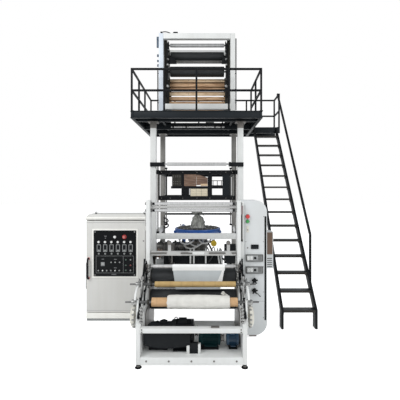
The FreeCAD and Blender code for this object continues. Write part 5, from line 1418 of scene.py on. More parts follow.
def film_roll():
    """The part roll: slack layers with ridges, soft hollows and slightly telescoped ends."""
    rows, sides = 90, 96
    verts = []
    length = roll_high.x - roll_low.x
    for row in range(rows + 1):
        share = row / rows
        x = roll_low.x + length * share
        end = min(share, 1 - share) * rows
        for column in range(sides):
            angle = 2 * math.pi * column / sides
            around = Vector((x * 3.0, math.cos(angle) * 1.3, math.sin(angle) * 1.3))
            slack = 0.5 + 0.5 * noise.fractal(around, 0.8, 2.1, 5)
            seam = 0.5 + 0.5 * noise.fractal(Vector((x * 1.2 + math.sin(angle) * 1.5, angle * 1.1, 4.0)),
                0.7, 2.0, 3)
            hump = 0.05 * max(0.0, math.cos(angle)) * math.sin(math.pi * min(1.0, share * 1.15)) ** 0.6
            crease = abs(noise.noise(Vector((x * 9 + 1.4 * math.sin(angle), angle * 1.6 + x * 2.5, 7.0))))
            radius = ROLL * (0.9 + 0.085 * slack + 0.03 * seam + hump - 0.05 * crease)
            if end < 2:
                radius -= 0.004 * (2 - end)
            shift = 0.006 * noise.noise(Vector((math.cos(angle) * 2, math.sin(angle) * 2,
                9 * share))) if end < 3 else 0
            verts.append((x + shift, roll_middle.y + radius * math.sin(angle),
                roll_middle.z + radius * math.cos(angle)))
    faces = row_faces(rows, sides)
    for row, flip in ((0, False), (rows, True)):
        base = row * sides
        inner = len(verts)
        for column in range(sides):
            angle = 2 * math.pi * column / sides
            verts.append((verts[base + column][0] + (0.004 if flip is False else -0.004),
                          roll_middle.y + 0.0612 * math.sin(angle),
                          roll_middle.z + 0.0612 * math.cos(angle)))
        for column in range(sides):
            after = (column + 1) % sides
            ring = (base + column, inner + column, inner + after, base + after)
            faces.append(tuple(reversed(ring)) if flip else ring)
    return skin("film_roll_wound", verts, faces, nodes["film_roll"]["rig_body"], ROLL_FILM, ("film_roll",))


film_roll()


def ribbon(name, path, left_of, right_of, thick, body, material, across=40, ripple=0.0, seed=3.0, hides=()):
    """A thin film laid along a path in Y and Z, with its own left and right edge at every step."""
    rows = len(path) - 1
    upper, lower, faces = [], [], []
    for row, (y, z) in enumerate(path):
        before, after = path[max(row - 1, 0)], path[min(row + 1, rows)]
        along = Vector((after[0] - before[0], after[1] - before[1])).normalized()
        out = Vector((-along.y, along.x))
        share = row / rows
        for column in range(across + 1):
            x = left_of(share) + (right_of(share) - left_of(share)) * column / across
            wave = ripple * noise.noise(Vector((x * 4.0 + seed, share * 2.2, seed))) * min(1.0,
                max(0.0, share - 0.44) * 3)
            upper.append((x, y + out.x * (wave + thick / 2), z + out.y * (wave + thick / 2)))
            lower.append((x, y + out.x * (wave - thick / 2), z + out.y * (wave - thick / 2)))
    count = across + 1
    shift = len(upper)
    for row in range(rows):
        for column in range(across):
            a, b = row * count + column, row * count + column + 1
            c, d = a + count, b + count
            faces.append((a, b, d, c))
            faces.append((shift + a, shift + c, shift + d, shift + b))
    rims = [(row * count + column, count, flip) for row in range(rows) for column,
        flip in ((0, False), (across, True))]
    rims += [(row * count + column, 1, flip) for row,
        flip in ((0, True), (rows, False)) for column in range(across)]
    for a, step, flip in rims:
        quad = (a, a + step, shift + a + step, shift + a)
        faces.append(tuple(reversed(quad)) if flip else quad)
    return skin(name, upper + lower, faces, body, material, hides)


FILM_OUT = 0.0012
radius = (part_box("film_roller")[1].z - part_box("film_roller")[0].z) / 2 + FILM_OUT
web_path = []
for step in range(13):
    angle = math.radians(38 + 142 * step / 12)
    web_path.append((film_roller.y + radius * math.cos(angle), film_roller.z + radius * math.sin(angle)))
sheet_front = film_roller.y - radius
for step in range(1, 25):
    share = step / 24
    web_path.append((sheet_front + 0.004 * math.sin(share * 5), film_roller.z - 0.345 * share))


def sheet_left(share):
    return -0.325 + 0.055 * max(0.0, share - 0.3) / 0.7


def sheet_right(share):
    return 0.49 - 0.075 * max(0.0, share - 0.3) / 0.7


hanging = ribbon("hanging_film", web_path, sheet_left, sheet_right, 0.0008, "frame", SHEET_FILM, 60, 0.006,
    3.0, ("film_sheet",))

fold_path = [(y - 0.0022, z) for y, z in web_path[10:34]]
fold = ribbon("hanging_film_fold", fold_path, lambda share: 0.482 - 0.145 * share,
    lambda share: 0.489 - 0.055 * share, 0.0008,
              "frame", FOLD_FILM, 14, 0.002, 8.0)

# A whiter strip laid just over the sheet where it wraps the roller: painted highlight.
crest_path = [(y - 0.002 * (index > 8), z + 0.0016 * (index <= 12)) for index,
    (y, z) in enumerate(web_path[3:17])]
crest = ribbon("hanging_film_lit_crest", crest_path, lambda share: -0.322, lambda share: 0.486, 0.0008, "frame",
    LIT_CREST_FILM, 40, 0.0, 5.0)

tail_rows, tail_columns = 10, 14
verts, faces = [], []
for row in range(tail_rows + 1):
    for column in range(tail_columns + 1):
        share, width = row / tail_rows, column / tail_columns
        x = 0.41 + 0.09 * width * (1 - 0.35 * share) + 0.012 * math.sin(share * 6)
        lift = 0.09 + 0.066 * share * math.sin(math.pi * (0.15 + 0.7 * width))
        y = roll_middle.y + 0.012 - 0.02 * share + 0.01 * math.sin(width * 14 + share * 4)
        verts.append((x, y, roll_middle.z + lift + 0.006 * noise.noise(Vector((width * 5, share * 5, 2)))))
for row in range(tail_rows):
    for column in range(tail_columns):
        a = row * (tail_columns + 1) + column
        faces.append((a, a + 1, a + tail_columns + 2, a + tail_columns + 1))
skin("film_tail", verts, faces, nodes["film_roll"]["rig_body"], ROLL_FILM)

# Drive motors in the winder's base

ROW_Y = middle_of("winder_motors").y
BASE_TOP = 0.157
BIG_AXIS, GREEN_AXIS, BLUE_AXIS = 0.385, 0.29, 0.275
finned_motor("black_drive_motor", -0.292, 0.03, ROW_Y, BIG_AXIS, 0.165, MOTOR_BLACK, "motor_paint",
    ("winder_motors",), fins=34)
finned_motor("green_drive_motor", 0.09, 0.4, ROW_Y, GREEN_AXIS, 0.095, MOTOR_GREEN, "motor_paint",
    ("winder_motors",), fins=24, eye=False)
finned_motor("blue_drive_motor", 0.48, 0.66, ROW_Y, BLUE_AXIS, 0.085, MOTOR_BLUE, "motor_paint",
    ("winder_motors",), fins=22, eye=False)
gear = Piece()
gear.turned((-0.64, ROW_Y, BIG_AXIS), ALONG, [
    (0, 0.07), (0.02, 0.07), (0.025, 0.1), (0.06, 0.125), (0.2, 0.125), (0.23, 0.115), (0.25, 0.125),
    (0.35, 0.125)], 56)
for angle in turns(8):
    gear.bolt((-0.615, ROW_Y + 0.085 * math.cos(angle), BIG_AXIS + 0.085 * math.sin(angle)),
        (-1, 0, 0), 0.009, 0.01)
for left, right, radius, z in ((-0.26, 0.0, 0.165, BIG_AXIS), (0.12, 0.37, 0.095, GREEN_AXIS),
        (0.51, 0.63, 0.085, BLUE_AXIS)):
    gear.block((left, ROW_Y - radius * 0.8, BASE_TOP),
        (right, ROW_Y + radius * 0.8, BASE_TOP + 0.02), 0.005)
    gear.block((left + 0.02, ROW_Y - radius * 0.55, BASE_TOP),
        (right - 0.02, ROW_Y + radius * 0.55, z - radius * 0.8), 0.005)
gear.block((-0.6, ROW_Y - 0.09, BASE_TOP), (-0.34, ROW_Y + 0.09, 0.28), 0.008)
gear.rod((-0.4, ROW_Y, 0.49), (-0.4, ROW_Y, 0.545), 0.03, 24)
gear.block((-0.455, ROW_Y - 0.04, 0.5), (-0.352, ROW_Y + 0.04, 0.532), 0.008)
gear.rod((-0.49, ROW_Y, 0.49), (-0.49, ROW_Y, 0.528), 0.02, 20)
gear.done("motor_gear_units", MOTOR_BLACK, "motor_paint", angle=30)
belt = Piece()
belt.turned((0.04, ROW_Y, BIG_AXIS), ALONG,
    [(0, 0.07), (0.008, 0.07), (0.014, 0.058), (0.026, 0.058), (0.032, 0.07), (0.04, 0.07)], 40)
belt.rod((0.028, ROW_Y, BIG_AXIS), (0.044, ROW_Y, BIG_AXIS), 0.02, 20)
belt.turned((0.405, ROW_Y, GREEN_AXIS), ALONG,
    [(0, 0.05), (0.01, 0.05), (0.016, 0.042), (0.03, 0.042), (0.036, 0.05), (0.046, 0.05)], 32)
belt.done("motor_pulleys", DULL_STEEL, "bare_steel", angle=30)

STAND_FRONT = ROW_Y - 0.19
stand = Piece()
for left, right in ((-0.07, -0.03), (0.086, 0.12)):
    stand.block((left, STAND_FRONT, BASE_TOP), (right, STAND_FRONT + 0.05, 0.285))
stand.done("motor_stand_legs", WHITE, "white_paint")
Piece().block((-0.03, STAND_FRONT + 0.004, BASE_TOP), (0.086, STAND_FRONT + 0.05, 0.3),
    0.004).done("motor_stand_core", MOTOR_BLACK, "motor_paint")
# Thin dark plates on the inner faces of the winder's side frames: painted shade in that recess.
inner = Piece()
for sign in (-1, 1):
    inner.plate([(-3.42, 0.16), (-2.66, 0.16), (-2.66, 1.02), (-3.06, 1.02), (-3.1, 0.66), (-3.42, 0.6)],
        "YZ", sign * (INNER - 0.001), sign * (INNER - 0.012), 0.002)
inner.done("inner_shadow_plates", SHADOW_GREY, "white_paint")
boxed = Piece()
inside = POST_X - POST / 2
near = -POST_Y + 0.03
boxed.block((inside - 0.285, near, 0.74), (inside - 0.002, near + 0.12, 1.15), 0.008)
boxed.block((inside - 0.295, near - 0.006, 0.73), (inside + 0.001, near + 0.004, 1.16), 0.004)
boxed.done("heater_terminal_box", MOTOR_BLACK, "black_plastic")
trims = Piece()
for z in (0.8, 0.945, 1.09):
    trims.turned((inside - 0.27, near - 0.006, z), TOWARD, [(0, 0.01), (0.008, 0.008)], 16)
for x in (-0.22, -0.17, -0.12, -0.07):
    trims.rod((inside + x, near + 0.06, 0.7), (inside + x, near + 0.06, 0.742), 0.012, 18)
trims.done("terminal_box_fittings", DULL_STEEL, "black_plastic")
dark_ends = Piece()
for spot in (top_middle, low_middle):
    for sign in (-1, 1):
        dark_ends.band((sign * (INNER - 0.028), spot.y, spot.z), (-sign, 0, 0), 0.0195, 0.0215, 0.07, 32)
dark_ends.done("guide_end_sleeves", BLACK, "black_plastic")
Piece().block((-0.2, ROW_Y - 0.167, 0.4), (-0.11, ROW_Y - 0.158, 0.455)).done("motor_data_plate",
    PALE_STEEL, "motor_paint")

underside = Piece()
pan = []
for step in range(13):
    share = step / 12
    pan.append((-0.66 + 0.64 * share, BASE_TOP + 0.115 - 0.045 * math.sin(math.pi * share)))
pan += [(-0.02, BASE_TOP + 0.3), (-0.66, BASE_TOP + 0.3)]
underside.plate(pan, "XZ", FRONT + 0.1, FRONT + 0.115)
underside.done("belt_guard", MOTOR_BLACK, "motor_paint")
base_bolts = Piece()
for x in (-0.6, -0.3, 0.0, 0.3, 0.6):
    base_bolts.bolt((x, FRONT, 0.107), TOWARD, 0.01, 0.009)
for x in (-0.66, 0.66):
    for z in (0.49, 0.524):
        base_bolts.bolt((x, FRONT, z), TOWARD, 0.008, 0.008)
base_bolts.block((0.26, FRONT + 0.02, 0.537), (0.37, FRONT + 0.06, 0.556), 0.004)
base_bolts.done("base_bolts", DULL_STEEL, "bare_steel")

# Web bar with its scale, guard posts and pulley

web = Piece()
WEB_Y = -2.98
for x in (-0.379, 0.547):
    web.rod((x, WEB_Y - 0.004, 1.545), (x, WEB_Y + 0.024, 1.545), 0.034, 32)
for left, right in ((-0.67, -0.42), (-0.2, -0.02), (0.24, 0.5), (0.6, 0.67)):
    web.rod((left, WEB_Y - 0.018, 1.385), (right, WEB_Y - 0.018, 1.385), 0.012, 16)
web.done("web_bar_rods", DULL_STEEL, "bare_steel")
Piece().block((-0.08, WEB_Y - 0.008, 1.35), (0.17, WEB_Y + 0.001, 1.404)).done("web_bar_scale_plate", WHITE,
    "white_paint")
marks = Piece()
for step in range(26):
    marks.block((-0.075 + step * 0.0095, WEB_Y - 0.0092, 1.352),
        (-0.0735 + step * 0.0095, WEB_Y - 0.0078, 1.372 if step % 5 == 0 else 1.362), 0)
marks.done("web_bar_scale_marks", PLASTIC, "black_plastic")
posts = Piece()
for x, lean in ((-0.18, 0.0), (-0.1, 0.0), (0.18, 0.0), (0.5, -0.05), (0.56, -0.05)):
    posts.plate([(x, 0.64), (x + 0.035, 0.64), (x + 0.035 + lean, 1.0), (x + lean, 1.0)], "XZ", -0.42, -0.4)
posts.done("extruder_guard_posts", WHITE, "white_paint")
Piece().turned((-0.64, -2.5, 1.29), (1, 0, -0.25), [
    (0, 0.085), (0.012, 0.085), (0.018, 0.07), (0.05, 0.07), (0.056, 0.085), (0.068, 0.085), (0.068, 0.03),
    (0.1, 0.03)], 48).done("brown_pulley", BROWN, "machine_grey", angle=30)
pulley_arm = Piece().block((-0.7, -2.62, 1.18), (-0.66, -2.44, 1.3), 0.006)
pulley_arm.block((-0.742, -2.62, 0.96), (-0.66, -2.545, 1.26), 0.006)
pulley_arm.done("pulley_bracket", DARK_STEEL, "black_paint")

# Drive housing

HOUSE_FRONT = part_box("drive_housing")[0].y
softened("drive_housing", "housing_case", PANEL, 0.01, 3)
# The right-hand strip stands for the body just behind the panel's edge; its black is painted shade there.
trim = Piece()
trim.block((0.744, HOUSE_FRONT - 0.002, 0.24), (0.752, HOUSE_FRONT + 0.002, 2.06), 0.001)
trim.block((1.128, HOUSE_FRONT - 0.004, 0.3), (1.158, HOUSE_FRONT + 0.002, 1.955), 0.004)
trim.done("housing_black_strip", PLASTIC, "black_plastic")
Piece().block((0.744, HOUSE_FRONT - 0.018, 1.3), (0.8, HOUSE_FRONT + 0.001, 2.19),
    0.006).done("housing_edge_shield", WHITE, "white_paint")
seam = Piece()
seam.block((0.815, HOUSE_FRONT - 0.0015, 0.3), (0.819, HOUSE_FRONT + 0.001, 2.13), 0.0005)
seam.block((0.819, HOUSE_FRONT - 0.0015, 0.6), (1.128, HOUSE_FRONT + 0.001, 0.603), 0.0005)
for z in (0.34, 0.75, 1.15, 1.55, 1.95):
    seam.bolt((0.832, HOUSE_FRONT - 0.001, z), TOWARD, 0.005, 0.003)
    seam.bolt((1.112, HOUSE_FRONT - 0.001, z), TOWARD, 0.005, 0.003)
seam.done("housing_seams", DULL_STEEL, "bare_steel")


def push_button(name, x, y, z, radius, material, body="frame", out=0.03, mushroom=1.0):
    """A round button in a steel bezel on a face towards -Y."""
    Piece().turned((x, y, z), TOWARD, [(0, radius * 1.22), (0.006, radius * 1.22), (0.01, radius * 1.05)],
        32).done(name + "_bezel", DULL_STEEL, "bare_steel", body, 30)
    Piece().lathe((x, y - 0.009, z), TOWARD, [
        (0, 0), (0, radius * 0.8), (out * 0.4, radius * 0.8), (out * 0.5, radius * mushroom),
        (out * 0.8, radius * mushroom),
        (out, radius * mushroom * 0.75), (out * 1.05, 0)], 32).done(name, material,
            "black_plastic", body, 40)


push_button("housing_stop_button", 0.858, HOUSE_FRONT, 1.952, 0.03, RED, mushroom=1.1)
push_button("housing_start_button", 0.858, HOUSE_FRONT, 1.874, 0.026, GREEN, out=0.022)
Piece().block((0.84, HOUSE_FRONT - 0.008, 1.7), (0.878, HOUSE_FRONT + 0.001, 1.8),
    0.006).done("housing_switch_plate", IVORY, "white_paint")
lever = Piece()
lever.turned((0.86, HOUSE_FRONT - 0.008, 1.738), TOWARD, [(0, 0.008), (0.012, 0.006)], 18)
lever.turned((0.86, HOUSE_FRONT, 1.452), TOWARD, [(0, 0.012), (0.006, 0.01)], 18)
lever.done("housing_small_screws", DULL_STEEL, "bare_steel")
Piece().block((0.912, HOUSE_FRONT - 0.014, 1.435), (1.034, HOUSE_FRONT + 0.001, 1.505),
    0.005).done("housing_display", PLASTIC, "black_plastic")
Piece().block((0.922, HOUSE_FRONT - 0.0155, 1.447), (1.024, HOUSE_FRONT - 0.0135, 1.493),
    0.001).done("housing_display_glass", GLASS, "black_plastic")

gauge_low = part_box("housing_gauges")[0]
softened("housing_gauges", "instrument_frames", INSTRUMENT, 0.004)
for row in range(2):
    base = gauge_low.z + row * 0.19
    face = gauge_low.y
    side = gauge_low.x
    rim = Piece()
    for low_x, low_z, high_x, high_z in ((0, 0, 0.27, 0.01), (0, 0.1, 0.27, 0.11), (0, 0, 0.01, 0.11),
            (0.26, 0, 0.27, 0.11)):
        rim.block((side + low_x, face - 0.005, base + low_z),
            (side + high_x, face + 0.001, base + high_z), 0.002)
    for step in range(7):
        rim.block((side + 0.192, face - 0.003, base + 0.022 + step * 0.011),
            (side + 0.25, face + 0.001, base + 0.026 + step * 0.011), 0.0008)
    rim.done("instrument_rim_%d" % (row + 1), DARK_STEEL, "black_plastic")
    for place, left in (("left", side + 0.022), ("right", side + 0.07)):
        Piece().block((left, face - 0.006, base + 0.026),
            (left + 0.04, face + 0.001, base + 0.088)).done("instrument_dial_%d_%s" % (row + 1, place),
                PALE_PLASTIC, "black_plastic")
        needle = Piece().rod((left + 0.02, face - 0.007, base + 0.036),
            (left + 0.03, face - 0.007, base + 0.07), 0.0014, 8)
        for step in range(7):
            needle.block((left + 0.006 + step * 0.0045, face - 0.0068, base + 0.074),
                (left + 0.0072 + step * 0.0045, face - 0.0055, base + 0.082), 0)
        needle.done("instrument_needle_%d_%s" % (row + 1, place), PLASTIC, "black_plastic")
    Piece().lathe((side + 0.145, face, base + 0.055), TOWARD,
        [(0, 0), (0, 0.02), (0.006, 0.02), (0.008, 0.016), (0.026, 0.014), (0.028, 0)],
        28).done("instrument_knob_%d" % (row + 1), PLASTIC, "black_plastic")


def star_knob(name, x, y, z, tilt):
    knob = Piece()
    knob.turned((x, y, z), TOWARD,
        [(0, 0.034), (0.004, 0.034), (0.006, 0.012), (0.024, 0.012), (0.024, 0.024), (0.046, 0.024),
            (0.05, 0.016)], 28)
    for step in range(5):
        angle = tilt + 2 * math.pi * step / 5
        tip = Vector((x + 0.04 * math.cos(angle), y - 0.036, z + 0.04 * math.sin(angle)))
        knob.rod((x, y - 0.036, z), tip, 0.01, 14)
        knob.turned(tip + Vector((0, 0.01, 0)), TOWARD,
            [(0, 0.009), (0.006, 0.012), (0.014, 0.012), (0.02, 0.009)], 16)
    knob.done(name, PLASTIC, "black_plastic", angle=40)


star_knob("tension_knob_upper", 0.968, HOUSE_FRONT, 0.932, math.pi / 2)
star_knob("tension_knob_lower", 0.968, HOUSE_FRONT, 0.772, 0.3)
pull = Piece().rod((0.968, HOUSE_FRONT - 0.04, 0.772), (1.045, HOUSE_FRONT - 0.045, 0.7), 0.006, 14)
pull.lathe((1.045, HOUSE_FRONT - 0.045, 0.7), (0.7, 0, -0.7),
    [(0, 0), (0, 0.009), (0.014, 0.009), (0.018, 0)], 16)
pull.done("tension_lever", PLASTIC, "black_plastic")
Piece().block((0.744, HOUSE_FRONT - 0.045, 1.985), (0.785, HOUSE_FRONT - 0.016, 2.125),
    0.006).done("roller_end_block", ROSE_GREY, "white_paint")
spring = Piece().rod((0.764, HOUSE_FRONT - 0.03, 1.585), (0.764, HOUSE_FRONT - 0.03, 1.985), 0.01, 18)
spring.turned((0.764, HOUSE_FRONT - 0.03, 1.56), UP, [(0, 0.016), (0.03, 0.016)], 20)
spring.done("roller_end_rod", DARK_STEEL, "bare_steel")
Piece().block((1.172, -2.615, 1.29), (1.318, -2.598, 1.662), 0.008).done("drive_box_brown_panel", BROWN,
    "machine_grey")
rear_grille = Piece()
for step in range(5):
    rear_grille.block((1.19, -2.604, 1.08 + step * 0.034), (1.31, -2.597, 1.092 + step * 0.034))
rear_grille.done("drive_box_louvres", DARK_STEEL, "machine_grey")

# Control cabinet

body_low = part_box("cabinet_body")[0]
door_low, door_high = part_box("cabinet_door")
softened("cabinet_body", "cabinet_shell", CABINET, 0.008)
DOOR = "cabinet_door"
softened("cabinet_door", "cabinet_door_leaf", CABINET, 0.006)
# The plinth band takes a lighter copy of the cabinet paint as painted light on its lit face; the grey skirt
# under it is painted shadow below the band.
Piece().block((body_low.x + 0.008, body_low.y + 0.004, 0.045), (-0.896, body_low.y + 0.03, 0.15),
    0.006).done("cabinet_plinth_lit_band", BRIGHT, "white_paint")
Piece().block((body_low.x + 0.02, body_low.y + 0.012, 0.0),
    (-0.91, body_low.y + 0.03, 0.044)).done("cabinet_skirt_shadow", MACHINE_GREY, "white_paint")
Piece().block((body_low.x - 0.004, body_low.y - 0.004, 1.832), (-0.888, body_low.y + 0.03, 1.85),
    0.004).done("cabinet_drip_edge", CABINET, "white_paint")
Piece().block((body_low.x + 0.004, body_low.y - 0.006, 1.852), (-0.896, body_low.y + 0.01, 1.884),
    0.005).done("cabinet_roof_front", BRIGHT, "white_paint")
eyes = Piece()
for x in (-1.845, -0.945):
    eyes.lathe((x, -2.02, 1.925), UP, [(0, 0), (0, 0.018), (0.01, 0.018), (0.014, 0.008), (0.02, 0)], 20)
    loop = [(x + 0.014 * math.cos(2 * math.pi * step / 12), -2.02,
        1.953 + 0.014 * math.sin(2 * math.pi * step / 12)) for step in range(13)]
    eyes.hose(loop, 0.005, 8, 2)
eyes.done("cabinet_eyebolts", BLACK, "bare_steel")

FACE = door_low.y
panel_low, panel_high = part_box("cabinet_panel")
PANEL_FRONT = panel_low.y
softened("cabinet_panel", "panel_plate", PANEL_BLACK, 0.003)
raised = Piece()
BAND, RISE = 0.03, 0.007
for low_x, low_z, high_x, high_z in (
        (panel_low.x - BAND, panel_high.z, panel_high.x + BAND, panel_high.z + BAND),
        (panel_low.x - BAND, panel_low.z - BAND, panel_high.x + BAND, panel_low.z),
        (panel_low.x - BAND, panel_low.z - 0.002, panel_low.x, panel_high.z + 0.002),
        (panel_high.x, panel_low.z - 0.002, panel_high.x + BAND, panel_high.z + 0.002)):
    raised.block((low_x, FACE - RISE, low_z), (high_x, FACE + 0.002, high_z), 0.004)
raised.done("panel_surround", BRIGHT, "white_paint", DOOR)
groove = Piece()
groove.block((door_low.x + 0.004, FACE - 0.0012, 1.778), (door_high.x - 0.004, FACE + 0.002, 1.784), 0.0005)
groove.block((door_low.x + 0.004, FACE - 0.0012, 0.19), (door_high.x - 0.004, FACE + 0.002, 0.194), 0.0005)
groove.done("door_seams", MACHINE_GREY, "white_paint", DOOR)
locks = Piece()
for z in (0.55, 1.45):
    locks.turned((door_high.x - 0.03, FACE, z), TOWARD, [(0, 0.012), (0.004, 0.012)], 20)
locks.done("door_plugs", DULL_STEEL, "bare_steel", DOOR)


PANEL_SPAN = panel_high.x - panel_low.x
PANEL_RISE = panel_high.z - panel_low.z


def panel_spot(across, up):
    """A place on the panel from its left and lower edge, as shares of its width and height."""
    return panel_low.x + PANEL_SPAN * across, panel_low.z + PANEL_RISE * up


screws = Piece()
for across, up in ((0.035, 0.03), (0.965, 0.03), (0.035, 0.97), (0.965, 0.97)):
    x, z = panel_spot(across, up)
    screws.turned((x, PANEL_FRONT, z), TOWARD, [(0, 0.011), (0.004, 0.011), (0.007, 0.006)], 20)
screws.done("panel_screws", STEEL, "bare_steel", DOOR)

COLUMNS = [0.126 + 0.15 * step for step in range(6)]
x, z = panel_spot(0.28, 0.868)
mark = Piece()
mark.block((x - 0.018, PANEL_FRONT - 0.002, z + 0.004), (x + 0.018, PANEL_FRONT + 0.001, z + 0.012), 0.0006)
mark.block((x - 0.012, PANEL_FRONT - 0.002, z - 0.03), (x + 0.012, PANEL_FRONT + 0.001, z - 0.024), 0.0006)
mark.done("panel_top_marks", GREY_PLASTIC, "black_plastic", DOOR)
x, z = panel_spot(0.505, 0.862)
push_button("panel_white_button", x, PANEL_FRONT, z, 0.023, PALE_PLASTIC, DOOR, 0.02)
x, z = panel_spot(0.725, 0.862)
Piece().ring((x, PANEL_FRONT, z), TOWARD,
    [(0, 0.024), (0, 0.037), (0.004, 0.037), (0.005, 0.024)], 40).done(
    "panel_stop_ring", RED, "black_plastic", DOOR)
push_button("panel_stop_button", x, PANEL_FRONT, z, 0.0185, PALE_RED, DOOR, 0.034, 1.1)
for index, across in enumerate(COLUMNS):
    x, z = panel_spot(across, 0.752)
    push_button("panel_lamp_%d" % (index + 1), x, PANEL_FRONT, z, 0.02, PALE_PLASTIC, DOOR, 0.016)
    x, z = panel_spot(across, 0.617)
    bezel = Piece()
    for low_x, low_z, high_x, high_z in ((-0.036, -0.066, 0.036, -0.056), (-0.036, 0.056, 0.036, 0.066),
            (-0.036, -0.066, -0.027, 0.066), (0.027, -0.066, 0.036, 0.066)):
        bezel.block((x + low_x, PANEL_FRONT - 0.008, z + low_z),
            (x + high_x, PANEL_FRONT + 0.001, z + high_z))
    bezel.block((x - 0.02, PANEL_FRONT - 0.0045, z - 0.05),
        (x + 0.02, PANEL_FRONT + 0.001, z - 0.03), 0.001)
    bezel.done("controller_bezel_%d" % (index + 1), GREY_PLASTIC, "black_plastic", DOOR)
    Piece().block((x - 0.027, PANEL_FRONT - 0.003, z - 0.028), (x + 0.027, PANEL_FRONT + 0.001, z + 0.056),
        0.001).done("controller_glass_%d" % (index + 1), GLASS, "black_plastic", DOOR)
    x, z = panel_spot(across, 0.495)
    small = Piece().lathe((x, PANEL_FRONT, z), TOWARD,
        [(0, 0), (0, 0.016), (0.005, 0.016), (0.007, 0.011), (0.02, 0.01), (0.022, 0)], 24)
    small.block((x - 0.0025, PANEL_FRONT - 0.024, z - 0.01),
        (x + 0.0025, PANEL_FRONT - 0.018, z + 0.01), 0.001)
    small.done("panel_selector_%d" % (index + 1), GREY_PLASTIC, "black_plastic", DOOR)

lines = Piece()
LINE = 0.0035
for low_across, low_up, high_across, high_up in (
        (0.06, 0.075, 0.94, 0.075), (0.06, 0.445, 0.94, 0.445), (0.06, 0.075, 0.06, 0.445),
        (0.94, 0.075, 0.94, 0.445), (0.7, 0.075, 0.7, 0.445)):
    ax, az = panel_spot(low_across, low_up)
    bx, bz = panel_spot(high_across, high_up)
    lines.block((ax - LINE / 2, PANEL_FRONT - 0.0015, az - LINE / 2),
        (bx + LINE / 2, PANEL_FRONT + 0.001, bz + LINE / 2), 0.0004)
lines.done("panel_outlines", GREY_PLASTIC, "black_plastic", DOOR)
x, z = panel_spot(0.22, 0.27)
Piece().block((x - 0.036, PANEL_FRONT - 0.01, z - 0.036), (x + 0.036, PANEL_FRONT + 0.001, z + 0.036),
    0.004).done("panel_meter", METER_GREY, "black_plastic", DOOR)
Piece().block((x - 0.028, PANEL_FRONT - 0.0115, z - 0.02), (x + 0.028, PANEL_FRONT - 0.0095, z + 0.028),
    0.001).done("panel_meter_face", INSTRUMENT, "black_plastic", DOOR)
rows = [(0.42, 0.31, GREY_PLASTIC), (0.515, 0.31, GREY_PLASTIC), (0.62, 0.31, GREY_PLASTIC)]
rows += [(0.12 + 0.098 * step, 0.13,
    (GREY_PLASTIC, PALE_PLASTIC, GREY_PLASTIC)[step % 3]) for step in range(6)]
rows += [(0.765, 0.365, DIM_GREEN), (0.875, 0.365, GREY_PLASTIC), (0.765, 0.245, DIM_GREEN)]
rows += [(0.875, 0.245, DIM_RED), (0.765, 0.135, DIM_GREEN), (0.875, 0.135, GREY_PLASTIC)]
for index, (across, up, material) in enumerate(rows):
    x, z = panel_spot(across, up)
    push_button("panel_button_%02d" % (index + 1), x, PANEL_FRONT, z, 0.0125, material, DOOR, 0.014)
plates = Piece()
for across, up, width in ((0.515, 0.372, 0.05), (0.515, 0.185, 0.05), (0.22, 0.375, 0.045),
        (0.48, 0.045, 0.09)):
    x, z = panel_spot(across, up)
    plates.block((x - width / 2, PANEL_FRONT - 0.002, z - 0.006),
        (x + width / 2, PANEL_FRONT + 0.001, z + 0.006), 0.0006)
plates.done("panel_blank_plates", METER_GREY, "black_plastic", DOOR)

grip_low, grip_high, grip_middle = box_of("cabinet_handle")
grip = Piece()
bar_y = grip_low.y + 0.014
grip.hose([(grip_middle.x, FACE + 0.001, grip_high.z - 0.018),
    (grip_middle.x, FACE - 0.03, grip_high.z - 0.016),
           (grip_middle.x, bar_y, grip_high.z - 0.05), (grip_middle.x, bar_y, grip_middle.z + 0.06),
           (grip_middle.x, bar_y, grip_middle.z - 0.06), (grip_middle.x, bar_y, grip_low.z + 0.05),
           (grip_middle.x, FACE - 0.03, grip_low.z + 0.016),
           (grip_middle.x, FACE + 0.001, grip_low.z + 0.018)], 0.017, 20, 8)
grip.done("door_pull_bar", PLASTIC, "black_plastic", DOOR, 40, ("cabinet_handle",))
bases = Piece()
for z in (grip_high.z - 0.018, grip_low.z + 0.018):
    bases.turned((grip_middle.x, FACE, z), TOWARD, [(0, 0.024), (0.006, 0.024), (0.012, 0.016)], 28)
bases.done("door_pull_bases", PALE_RED, "black_plastic", DOOR)
vents = Piece()
for row in range(9):
    z = 1.45 + row * 0.026
    for x in (body_low.x, -0.9):
        out = -1 if x < -1.5 else 1
        vents.block((x - out * 0.001, -2.02, z), (x + out * 0.006, -1.84, z + 0.012), 0.002)
vents.done("cabinet_vents", CABINET, "white_paint")


# Floor, light and camera


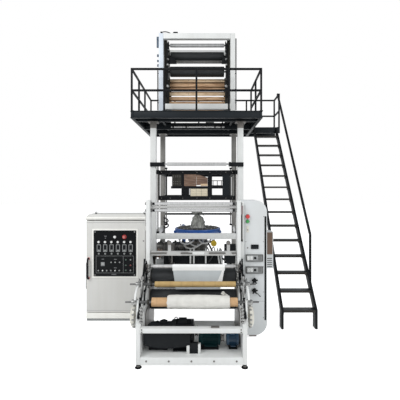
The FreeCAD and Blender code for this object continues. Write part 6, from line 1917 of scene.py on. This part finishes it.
def stage_floor():
    half = 40
    data = bpy.data.meshes.new("studio_floor")
    data.from_pydata([(-half, -half, FLOOR), (half, -half, FLOOR), (half, half, FLOOR),
        (-half, half, FLOOR)], [], [(0, 1, 2, 3)])
    item = bpy.data.objects.new("studio_floor", data)
    scene.collection.objects.link(item)
    material, tree, shader = graph("studio_floor")
    shader.inputs["Base Color"].default_value = (0.86, 0.86, 0.86, 1)
    shader.inputs["Roughness"].default_value = 0.9
    rays = added(tree, "LightPath").outputs
    seen = added(tree, "Math", (), {0: rays["Is Camera Ray"], 1: rays["Is Glossy Ray"]})
    seen.operation = "MAXIMUM"
    lift = added(tree, "Math", {1: 0.75}, {0: seen.outputs[0]})
    lift.operation = "MULTIPLY"
    glow = added(tree, "Emission", (), {"Strength": lift.outputs[0]})
    both = added(tree, "AddShader", (), {0: shader.outputs[0], 1: glow.outputs[0]})
    tree.links.new(both.outputs[0], tree.nodes["Material Output"].inputs["Surface"])
    data.materials.append(material)
    item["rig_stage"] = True


def studio_light():
    world = bpy.data.worlds.new("studio")
    scene.world = world
    world.use_nodes = True
    tree = world.node_tree
    tree.nodes.clear()
    lit = added(tree, "Background", {"Color": (0.95, 0.98, 1.0, 1), "Strength": 0.62})
    seen = added(tree, "Background", {"Color": (1, 1, 1, 1), "Strength": 1.0})
    camera_ray = added(tree, "LightPath").outputs["Is Camera Ray"]
    mix = added(tree, "MixShader", (), {0: camera_ray, 1: lit.outputs[0], 2: seen.outputs[0]})
    added(tree, "OutputWorld", (), {"Surface": mix.outputs[0]})
    for name, spot, target, side, power in (
        ("key_light", (-5.5, -8.5, 8.5), (0, -1, 2.2), 5.0, 520),
        ("fill_light", (6.5, -8.0, 5.0), (0, -1, 2.4), 5.0, 260),
    ):
        lamp = bpy.data.lights.new(name, "AREA")
        lamp.size = side
        lamp.energy = power
        item = bpy.data.objects.new(name, lamp)
        item.location = spot
        item.rotation_euler = (Vector(target) - Vector(spot)).to_track_quat("-Z", "Y").to_euler()
        scene.collection.objects.link(item)


CAMERA_SPOT = (0.18, -8.16, 2.39)
FRAME_PIXELS = 400
FOCAL_PIXELS = 330
HORIZON_ROW = 189
VANISH_COLUMN = 205
SENSOR = 36.0


def photo_camera():
    lens = bpy.data.cameras.new("photo_camera")
    lens.sensor_width = SENSOR
    lens.lens = SENSOR * FOCAL_PIXELS / FRAME_PIXELS
    lens.shift_x = (FRAME_PIXELS / 2 - VANISH_COLUMN) / FRAME_PIXELS
    lens.shift_y = (HORIZON_ROW - FRAME_PIXELS / 2) / FRAME_PIXELS
    item = bpy.data.objects.new("photo_camera", lens)
    item.location = CAMERA_SPOT
    item.rotation_euler = (math.pi / 2, 0, 0)
    scene.collection.objects.link(item)
    scene.camera = item


stage_floor()
studio_light()
photo_camera()
scene.view_settings.view_transform = "Standard"

low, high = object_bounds()
